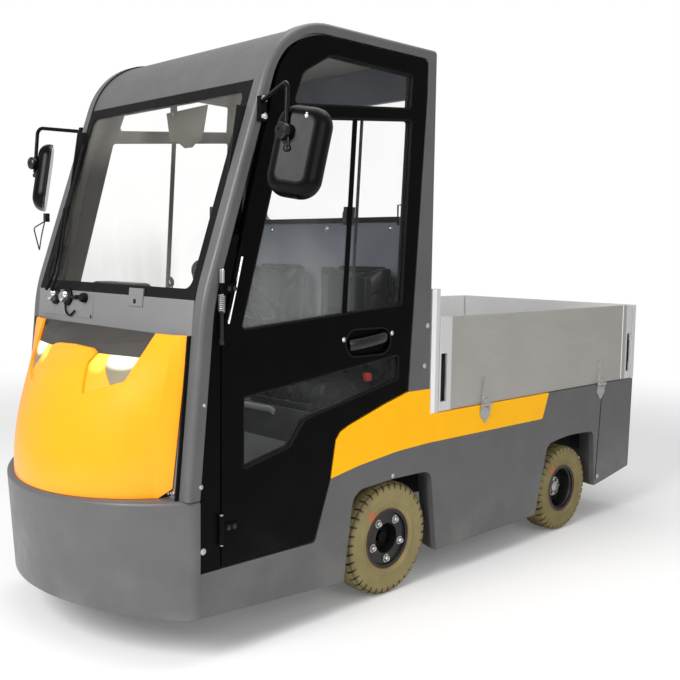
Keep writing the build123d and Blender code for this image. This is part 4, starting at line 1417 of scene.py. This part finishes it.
@dataclass
class DoorFittings:
    """Rubber beads, pane latch, handles and hinge fittings of the two doors."""

    bead: float = 0.0055
    skin_x: float = 0.535
    hinge_out: float = 0.010
    hinge_y: float = -1.098
    hinge_z: Pair = (0.410, 1.140)
    handle: Pair = (-0.460, 0.943)
    lip_round: float = 0.0465
    lip_run: float = 0.065
    coils: int = 9
    coil: float = 0.0092
    spring: Pair = (1.072, 1.123)

    def build(self) -> None:
        """Make the doors' fittings, the right ones as mirror images."""
        self.build_beads()
        self.build_sliding_pane()
        self.build_handle()
        self.build_hinges()
        self.build_stay()

    def build_beads(self) -> None:
        """Rubber beads round the panes, outside and inside."""
        beads = Shape()
        for loop in node_loops("door_glass_left", (1, 0, 0)):
            for inset in (0.004, 0.026):
                beads.tube([(self.skin_x - inset, p.y, p.z) for p in loop], self.bead, 8, closed=True,
                           flat=0.8, toward=(1, 0, 0))
        beads.pair("door_beads", RUBBER, "door_{side}")

    def build_sliding_pane(self) -> None:
        """Second upright of the left door's sliding pane, and its latch."""
        x = self.skin_x - 0.0135
        bars = Shape()
        bars.prism([(x, -0.533, 1.030), (x, -0.525, 1.030), (x, -0.486, 1.712), (x, -0.494, 1.712)],
                   (-0.010, 0, 0))
        bars.prism([(x, -0.564, 1.343), (x, -0.524, 1.343), (x, -0.520, 1.404), (x, -0.560, 1.404)],
                   (-0.018, 0, 0))
        bars.prism([(x - 0.018, y, z) for y, z in
                    ((-0.556, 1.358), (-0.534, 1.358), (-0.530, 1.390), (-0.552, 1.390))], (-0.012, 0, 0))
        bars.build("pane_frame_left", PLASTIC, "door_left", bevel=0.002)

    def build_handle(self) -> None:
        """Screws, grip, lip and lock of the outer handle, and the inner pull."""
        screws = Shape()
        for y, z in ((-0.580, 0.958), (-0.341, 0.968)):
            screws.fastener(on_side(self.skin_x, y, z), 0.0065, 0.005, Head.PAN)
        screws.pair("handle_screws", CHROME, "door_{side}")
        grip = Shape()
        path = ((-0.004, -0.549, 0.936), (0.003, -0.535, 0.938), (0.006, -0.49, 0.942),
                (0.006, -0.43, 0.949), (0.003, -0.385, 0.955), (-0.004, -0.372, 0.957))
        grip.tube([(self.skin_x + out, y, z) for out, y, z in path], 0.019, 14, flat=0.5, toward=(1, 0, 0))
        grip.pair("handle_grip", PLASTIC, "door_{side}")
        lip = Shape()
        lip.tube([(self.skin_x, self.handle[0] + way * self.lip_run + self.lip_round * math.cos(a),
                   self.handle[1] + self.lip_round * math.sin(a))
                  for way, start in ((1, -90), (-1, 90))
                  for a in (math.radians(start + 180 * i / 14) for i in range(15))], 0.0035, 8, closed=True)
        lip.pair("handle_lip", RUBBER, "door_{side}")
        lock = Shape()
        lock.lathe([(0.013, 0.0), (0.013, 0.006), (0.010, 0.008), (0.004, 0.008), (0.004, 0.0065)],
                   facing((self.skin_x - 0.011, -0.405, self.handle[1]), (1, 0, 0)), 24)
        lock.pair("door_lock", PLASTIC, "door_{side}")
        pull = Shape()
        inner, height = self.skin_x - 0.031, 0.955
        pull.tube(rounded([(inner, -0.42, height), (inner - 0.035, -0.43, height),
                           (inner - 0.035, -0.56, height), (inner, -0.57, height)], 0.03), 0.009, 12)
        pull.pair("inner_pull", PLASTIC, "door_{side}")

    def build_hinges(self) -> None:
        """Pins and screws of the two hinges."""
        x = self.skin_x + self.hinge_out
        pins, screws = Shape(), Shape()
        for z in self.hinge_z:
            for way in (1, -1):
                pins.lathe([(0.0055, 0.0), (0.0055, 0.003), (0.003, 0.0045)],
                           facing((x, self.hinge_y, z + way * 0.045), (0, 0, way)), 16)
            for y in (-1.066, -1.044):
                screws.fastener(on_side(self.skin_x + 0.004, y, z), 0.006, 0.004, Head.PAN)
        pins.pair("hinge_pins", STEEL, "chassis")
        screws.pair("hinge_screws", PLASTIC, "door_{side}")

    def build_stay(self) -> None:
        """Plated pin, spring and guide tube over the upper hinge; painted highlight on the door's edge."""
        x, y = self.skin_x + self.hinge_out, self.hinge_y
        axis = Matrix.Translation((x, y, 0))
        pin = Shape()
        pin.lathe([(0.0085, 1.158), (0.0085, 1.196), (0.006, 1.199)], axis, 20)
        pin.pair("hinge_stay_pin", CHROME, "chassis")
        spring = Shape()
        low, high = self.spring
        rise = (high - low) / (2 * math.pi * self.coils)
        spring.tube([(x + self.coil * math.cos(a), y + self.coil * math.sin(a), low + rise * a)
                     for a in (2 * math.pi * i / 16 for i in range(16 * self.coils + 1))], 0.0018, 6)
        spring.pair("hinge_stay_spring", STEEL, "chassis")
        guide = Shape()
        guide.lathe([(0.0085, 0.974), (0.0085, 0.980), (0.0062, 0.982), (0.0062, 1.066), (0.0100, 1.068),
                     (0.0100, 1.072)], axis, 20)
        guide.box((self.skin_x - 0.004, y - 0.008, 0.980), (x, y + 0.008, 0.992))
        guide.pair("hinge_stay_guide", PLASTIC, "chassis")
        # Chrome bead along the door edge's rubber seal, standing in for its highlight: a painted highlight.
        bead = Shape()
        bead.tube([(self.skin_x + 0.0015, y, z) for y, z in
                   ((-1.066, 1.035), (-1.053, 1.085), (-1.036, 1.150), (-1.015, 1.235))], 0.0035, 8)
        bead.pair("door_edge_bead", CHROME, "door_{side}")


@dataclass
class Mirrors:
    """Glass, rim and fasteners of the two mirrors."""

    centre: Place = (0.759, -0.982, 1.530)
    foot: Pair = (0.551, -0.948)
    foot_z: Pair = (1.655, 1.706)
    clamp: Pair = (0.759, 1.585)
    knob: Place = (0.762, -1.036, 1.560)
    turn: float = 30.0
    lean: float = 8.0
    roll: float = -9.0
    width: float = 0.160
    height: float = 0.262
    corner: float = 0.058

    def frame(self) -> Matrix:
        """Frame of the left mirror's face; its Z axis runs into the shell.

        Returns:
            The frame.
        """
        return (Matrix.Translation(self.centre) @ Matrix.Rotation(math.radians(self.turn), 4, "Z")
                @ Matrix.Rotation(math.radians(90 - self.lean), 4, "X")
                @ Matrix.Rotation(math.radians(self.roll), 4, "Z"))

    def outline(self, inset: float, depth: float, steps: int = 10) -> list[Vector]:
        """Rounded outline of the face, drawn in and set at a depth.

        Args:
            inset: Distance from the face's edge.
            depth: Distance into the shell.
            steps: Parts of each corner's curve.

        Returns:
            The outline's points.
        """
        radius = self.corner - inset
        face = self.frame()
        points = []
        for corner in range(4):
            cx = (self.width / 2 - inset - radius) * (1 if corner in (0, 3) else -1)
            cy = (self.height / 2 - inset - radius) * (1 if corner in (0, 1) else -1)
            for i in range(steps + 1):
                a = math.radians(90 * corner + 90 * i / steps)
                points.append(face @ Vector((cx + radius * math.cos(a), cy + radius * math.sin(a), depth)))
        return points

    def build(self) -> None:
        """Make the mirrors' parts, the right ones as mirror images."""
        into = self.frame().to_3x3() @ Vector((0, 0, 0.002))
        glass = Shape()
        glass.prism(self.outline(0.006, -0.0022), into)
        glass.pair("mirror_glass", MIRROR_GLASS, "chassis")
        rim = Shape()
        rim.tube(self.outline(0.004, 0.0035), 0.005, 10, closed=True)
        rim.pair("mirror_rim", GLOSS_BLACK, "chassis")
        self.build_bolts()
        self.build_clamps()

    def build_bolts(self) -> None:
        """Screw on the shell's back, and the two at the arm's foot."""
        bolts = Shape()
        bolts.fastener(self.frame() @ Matrix.Translation((0.012, 0.094, 0.0465)), 0.007, 0.006, Head.PAN)
        for z in self.foot_z:
            bolts.lathe([(0.010, -0.001), (0.011, 0.004), (0.009, 0.009), (0.004, 0.012)],
                        facing((*self.foot, z), (1, 0, 0)), 20)
        bolts.pair("mirror_screws", CHROME, "chassis")

    def build_clamps(self) -> None:
        """Clamp caps on both sides of the arm, and the knob below them."""
        clamp = Shape()
        x, z = self.clamp
        for y, way in ((-1.054, -1), (-1.000, 1)):
            clamp.lathe([(0.024, -0.010), (0.024, 0.004), (0.020, 0.008), (0.008, 0.009), (0.007, 0.006)],
                        facing((x, y, z), (0, way, 0)), 24)
        clamp.lathe([(0.008, -0.020), (0.008, 0.014), (0.012, 0.017), (0.012, 0.026), (0.008, 0.030)],
                    facing(self.knob, (0, 0, -1)), 20)
        clamp.pair("mirror_clamps", PLASTIC, "chassis")


@dataclass
class BodyFittings:
    """Bolts of the side frames, the nose's ledge and the roof, and the rear corner's joint."""

    skin_x: float = 0.535
    pillar_x: float = 0.534
    ledge_y: float = -1.2125
    roof_y: float = -0.8975
    roof_z: float = 1.8165
    roof_lean: float = math.radians(SCREEN_LEAN)

    def build(self) -> None:
        """Make the body's fasteners and edges."""
        bolts = Shape()
        for y, z, radius in ((-1.153, 0.797, 0.006), (-1.166, 0.552, 0.006), (-1.158, 0.354, 0.0075)):
            bolts.fastener(on_side(self.pillar_x, y, z), radius, 0.004, Head.PAN)
        for y, z, radius, height in ((-0.145, 0.985, 0.0075, 0.005), (-0.158, 0.836, 0.0075, 0.005),
                                     (-0.321, 0.447, 0.0065, 0.004), (1.128, 0.205, 0.0085, 0.006)):
            bolts.fastener(on_side(self.skin_x, y, z), radius, height, Head.PAN)
        bolts.pair("body_bolts", STEEL, "chassis")
        self.build_corner_joint()
        ledge = Shape()
        for x, z in ((0.440, 0.526), (0.470, 0.530)):
            ledge.fastener(facing((x, self.ledge_y, z), (0, -1, 0)), 0.008, 0.009)
        ledge.pair("ledge_bolts", CHROME, "chassis")
        roof = Shape()
        way = (0, -math.cos(self.roof_lean), math.sin(self.roof_lean))
        for x in (0.24, -0.29):
            roof.fastener(facing((x, self.roof_y, self.roof_z), way), 0.006, 0.003, Head.PAN)
        roof.build("roof_screws", FRAME_BLACK, "chassis")

    def build_corner_joint(self) -> None:
        """Lap joint between the side panel and the rear corner panel."""
        joint = Shape()
        x = self.skin_x - 0.0005
        top, low = Vector((x, 1.142, 0.637)), Vector((x, 1.107, 0.192))
        wide, thick = Vector((0, 0.0035, 0)), Vector((0.0007, 0, 0))
        joint.prism([top - wide, top + wide, low + wide, low - wide], thick)
        joint.pair("corner_joint", RUBBER, "chassis")


@dataclass
class CabFittings:
    """Window bar, screws and pane latch of the rear wall, seat box trim and pillar covers."""

    wall_y: float = -0.145
    trim_y: float = -0.604
    pillar_x: float = 0.4885
    latch_x: Pair = (0.382, 0.406)
    latch_z: Pair = (1.359, 1.431)
    cover: tuple[Pair, ...] = ((-1.070, 1.262), (-1.000, 1.690), (-0.925, 1.690), (-1.022, 1.262))

    def build(self) -> None:
        """Make the cab's inner fittings."""
        bar = Shape()
        bar.box((-0.470, self.wall_y - 0.012, 1.369), (0.378, self.wall_y + 0.004, 1.388))
        bar.build("rear_window_bar", RUBBER, "chassis", bevel=0.002)
        screws = Shape()
        for x, z in ((-0.014, 1.346), (0.336, 1.344), (-0.364, 1.344)):
            screws.fastener(facing((x, self.wall_y, z), (0, -1, 0)), 0.008, 0.005, Head.PAN)
        screws.build("rear_wall_screws", CHROME, "chassis")
        latch = Shape()
        y, (near, far), (low, high) = self.wall_y - 0.008, self.latch_x, self.latch_z
        latch.tube(rounded([(near, y, low), (far, y, low), (far, y, high), (near, y, high)], 0.006),
                   0.0035, 8, closed=True)
        latch.build("rear_pane_latch", PLASTIC, "chassis")
        trim = Shape()
        path = [(x, self.trim_y, z) for x, z in ((-0.020, 0.674), (0.180, 0.676), (0.202, 0.668))]
        trim.tube(rounded(path, 0.008), 0.012, 12, flat=0.4, toward=(0, 1, 0))
        trim.build("seat_box_trim", TRIM_WHITE, "chassis")
        cover = Shape()
        cover.prism([(self.pillar_x, y, z) for y, z in self.cover], (-0.003, 0, 0))
        cover.pair("pillar_covers", DASH, "chassis", bevel=0.001)


@dataclass
class BedFittings:
    """Slot latches, hinge pins and painted-highlight beads on the strap edges of the load bed."""

    skin_x: float = 0.533
    slot_y: Pair = (-0.041, 1.379)
    slot_z: Pair = (0.694, 0.870)
    tongue_z: Pair = (0.735, 0.842)
    hinge_y: Pair = (0.222, 1.122)
    hinge_x: float = 0.543
    leaf_x: float = 0.539
    strap_x: float = 0.5365

    def build(self) -> None:
        """Make the bed's fittings."""
        latch = Shape()
        x, (low, high) = self.skin_x - 0.0095, self.tongue_z
        for y in self.slot_y:
            latch.box((self.skin_x - 0.012, y - 0.0175, self.slot_z[0] - 0.004),
                      (x, y + 0.0175, self.slot_z[1] + 0.004))
            front, rear = y - 0.010, y + 0.010
            latch.prism([(x, front, low), (x, rear, low), (x, rear, high), (x, front, high)], (0.006, 0, 0))
        latch.pair("board_latches", RUBBER, "side_board_{side}", bevel=0.0015)
        pins, edges = Shape(), Shape()
        for y in self.hinge_y:
            for end in (-1, 1):
                pins.lathe([(0.0055, 0.0), (0.0055, 0.004), (0.003, 0.006)],
                           facing((self.hinge_x, y + end * 0.030, 0.650), (0, end, 0)), 16)
            for place, z in ((y - 0.022, 0.622), (y + 0.022, 0.622), (y, 0.592)):
                pins.fastener(on_side(self.leaf_x, place, z), 0.0045, 0.003, Head.PAN)
            # Chrome bead along the strap's edge, standing in for its highlight: a painted highlight.
            edges.tube([(self.strap_x, y - half, z) for half, z in
                        ((0.0150, 0.676), (0.0150, 0.690), (0.0105, 0.745), (0.0085, 0.7575))], 0.0022, 8)
        pins.pair("board_hinge_pins", STEEL, "chassis")
        edges.pair("strap_highlight_beads", CHROME, "side_board_{side}")


@dataclass
class ScreenFittings:
    """Wiper and its drive, sun visor, screen tab, instrument hood, lever and pillar catch."""

    lean: float = SCREEN_LEAN
    foot: Place = (0.0, -1.158, 1.105)
    cowl_rise: Place = (0.0, 0.056, 0.593)
    pivot_x: Pair = (-0.354, -0.265)
    pivot_below: float = 0.024
    nozzle_below: float = 0.022
    visor_y: float = -0.88
    hood_y: float = -1.118

    def on_screen(self, x: float, up: float, out: float) -> Vector:
        """Place over the screen's plane.

        Args:
            x: Place across.
            up: Distance up the slope from the screen's foot.
            out: Distance out of the plane.

        Returns:
            The place.
        """
        a = math.radians(self.lean)
        return Vector((x, self.foot[1] + up * math.sin(a) - out * math.cos(a),
                       self.foot[2] + up * math.cos(a) + out * math.sin(a)))

    def build(self) -> None:
        """Make the screen's fittings."""
        self.build_wiper()
        self.build_drive()
        self.build_plates()
        self.build_visor()
        self.build_dash()
        self.build_linkage()

    def build_wiper(self) -> None:
        """Double arm and blade, parked upright at the screen's right edge."""
        arm = Shape()
        arm.tube([self.on_screen(-0.395, -0.010, 0.022), self.on_screen(-0.36, 0.05, 0.030),
                  self.on_screen(-0.435, 0.30, 0.022)], 0.006, 10)
        arm.tube([self.on_screen(-0.355, -0.010, 0.022), self.on_screen(-0.325, 0.05, 0.030),
                  self.on_screen(-0.425, 0.31, 0.020)], 0.005, 10)
        arm.tube([self.on_screen(-0.40, 0.045, 0.012), self.on_screen(-0.455, 0.56, 0.012)], 0.007, 8)
        arm.build("wiper", RUBBER, "chassis")

    def build_drive(self) -> None:
        """Two pivots of the wiper, the nozzles beside them, their rod and the hose."""
        pivots, bases = Shape(), Shape()
        for x in self.pivot_x:
            at = self.over_cowl(x, self.pivot_below)
            bases.lathe([(0.030, -0.004), (0.030, 0.010), (0.024, 0.016)], at, 28)
            pivots.lathe([(0.021, 0.010), (0.021, 0.022), (0.017, 0.032), (0.009, 0.037)], at, 28)
        pivots.build("wiper_pivots", CHROME, "chassis")
        for x, radius in ((-0.146, 0.017), (-0.185, 0.008)):
            bases.lathe([(radius, -0.004), (radius, 0.014), (0.7 * radius, 0.022)],
                        self.over_cowl(x, self.nozzle_below), 20)
        bases.tube([self.over_cowl(x, below) @ Vector((0, 0, 0.010)) for x, below in
                    ((-0.265, self.pivot_below), (-0.146, self.nozzle_below))], 0.006, 8)
        hose = ((-0.275, 0.036), (-0.272, 0.076), (-0.238, 0.092), (-0.205, 0.070))
        bases.tube(rounded([self.over_cowl(x, below) @ Vector((0, 0, 0.008)) for x, below in hose], 0.02),
                   0.0035, 8)
        bases.build("wiper_drive", RUBBER, "chassis")

    def build_plates(self) -> None:
        """Plate below the wiper's drive, the screen's tab and their screws."""
        # Both plates take the apron's lightened grey, a painted sky reflection.
        for name, (left, right), (top, low), thick, bevel in (
                ("wiper_plate", (-0.440, -0.092), (0.004, 0.092), 0.0035, 0.0008),
                ("screen_tab", (0.134, 0.217), (-0.024, 0.034), 0.006, 0.001)):
            plate = Shape()
            plate.prism([self.over_cowl(x, below) @ Vector((0, 0, -0.002)) for x, below in
                         ((left, top), (right, top), (right, low), (left, low))],
                        self.over_cowl(0, 0).to_3x3() @ Vector((0, 0, thick)))
            plate.build(name, COWL, "chassis", bevel=bevel)
        screw = Shape()
        for x, below, out, radius, height in ((0.172, 0.018, 0.004, 0.006, 0.004),
                                              (-0.102, 0.084, 0.0015, 0.004, 0.003)):
            at = self.over_cowl(x, below) @ Matrix.Translation((0, 0, out))
            screw.fastener(at, radius, height, Head.PAN)
        screw.build("tab_screws", FRAME_BLACK, "chassis")

    def over_cowl(self, x: float, below: float) -> Matrix:
        """Frame on the cowl below the screen, facing out of it.

        Args:
            x: Place across.
            below: Distance below the screen's foot.

        Returns:
            The frame.
        """
        rise = Vector(self.cowl_rise).normalized()
        foot = Vector((x, self.foot[1], self.foot[2])) - rise * below
        return facing(foot, (0.0, -rise.z, rise.y))

    def build_visor(self) -> None:
        """Smoked sun visor on its stalk inside the windscreen."""
        plate = Shape()
        corners = ((-0.071, 1.731), (0.175, 1.737), (0.142, 1.622), (0.100, 1.612), (0.086, 1.602),
                   (0.040, 1.602), (0.022, 1.612), (-0.001, 1.625), (-0.049, 1.631))
        plate.prism([(x, self.visor_y, z) for x, z in corners], (0, 0.003, 0))
        plate.build("sun_visor", SMOKED, "chassis", bevel=0.001)
        stalk = Shape()
        stalk.tube([(-0.015, self.visor_y - 0.006, z) for z in (1.715, 1.84)], 0.012, 12)
        stalk.build("visor_stalk", PLASTIC, "chassis")

    def build_dash(self) -> None:
        """Instrument hood, lever and the small box at the screen's near edge."""
        hood = Shape()
        corners = ((-0.205, 1.088), (0.105, 1.088), (0.105, 1.118), (0.075, 1.140), (-0.175, 1.140),
                   (-0.205, 1.118))
        hood.prism([(x, self.hood_y, z) for x, z in corners], (0, 0.075, 0))
        hood.build("instrument_hood", PLASTIC, "chassis", bevel=0.010)
        lever = Shape()
        foot, knob = (0.166, -1.010, 1.075), (0.140, -1.004, 1.135)
        lever.tube([foot, knob], 0.005, 10)
        lever.lathe([(0.004, -0.006), (0.010, 0.0), (0.012, 0.014), (0.008, 0.026), (0.003, 0.030)],
                    facing(knob, (-0.4, 0.1, 0.9)), 20)
        lever.build("direction_lever", PLASTIC, "chassis")
        box = Shape()
        box.box((0.420, -1.052, 1.342), (0.480, -1.022, 1.385))
        box.build("screen_box", PLASTIC, "chassis", bevel=0.003)

    def build_linkage(self) -> None:
        """Bonnet catch and its wires outside the right pillar."""
        catch = Shape()
        catch.box((-0.551, -1.112, 1.350), (-0.533, -1.094, 1.382))
        for end in ((-0.552, -1.150, 1.326), (-0.550, -1.120, 1.300)):
            catch.tube(rounded([(-0.547, -1.108, 1.352), end, (-0.546, -1.132, 1.244)], 0.01), 0.0028, 6)
        catch.build("pillar_catch", PLASTIC, "chassis", bevel=0.0015)


# Name, radius, width, rim's radius, number of lugs and whether the hub lies deep.
WHEELS = (
    ("front", 0.209, 0.106, 0.110, 38, False),
    ("rear", 0.1925, 0.114, 0.104, 36, True),
)


def dress_frame() -> None:
    """Give every CAD node the finish of its material slot."""
    for row in frame["record"]["subparts"]:
        node = frame["nodes"][row["node"]]
        finish = NODE_FINISHES.get(row["node"], SLOT_FINISHES[row["material_slot"]])
        node.data.materials.clear()
        node.data.materials.append(finish.material())
        log.info("%s: %s", row["node"], finish.name)


def main() -> None:
    """Build the scene in order."""
    ViewPoint().build()
    Studio().build()
    dress_frame()
    for name, *measures in WHEELS:
        for side in (LEFT, RIGHT):
            Wheel(name, side, *measures).build()
    for part in (Seats(), DoorFittings(), Mirrors(), BodyFittings(), CabFittings(), BedFittings(),
                 ScreenFittings()):
        part.build()


if __name__ == "__main__":
    logging.basicConfig(level=logging.INFO, format="%(name)s: %(message)s")
    main()
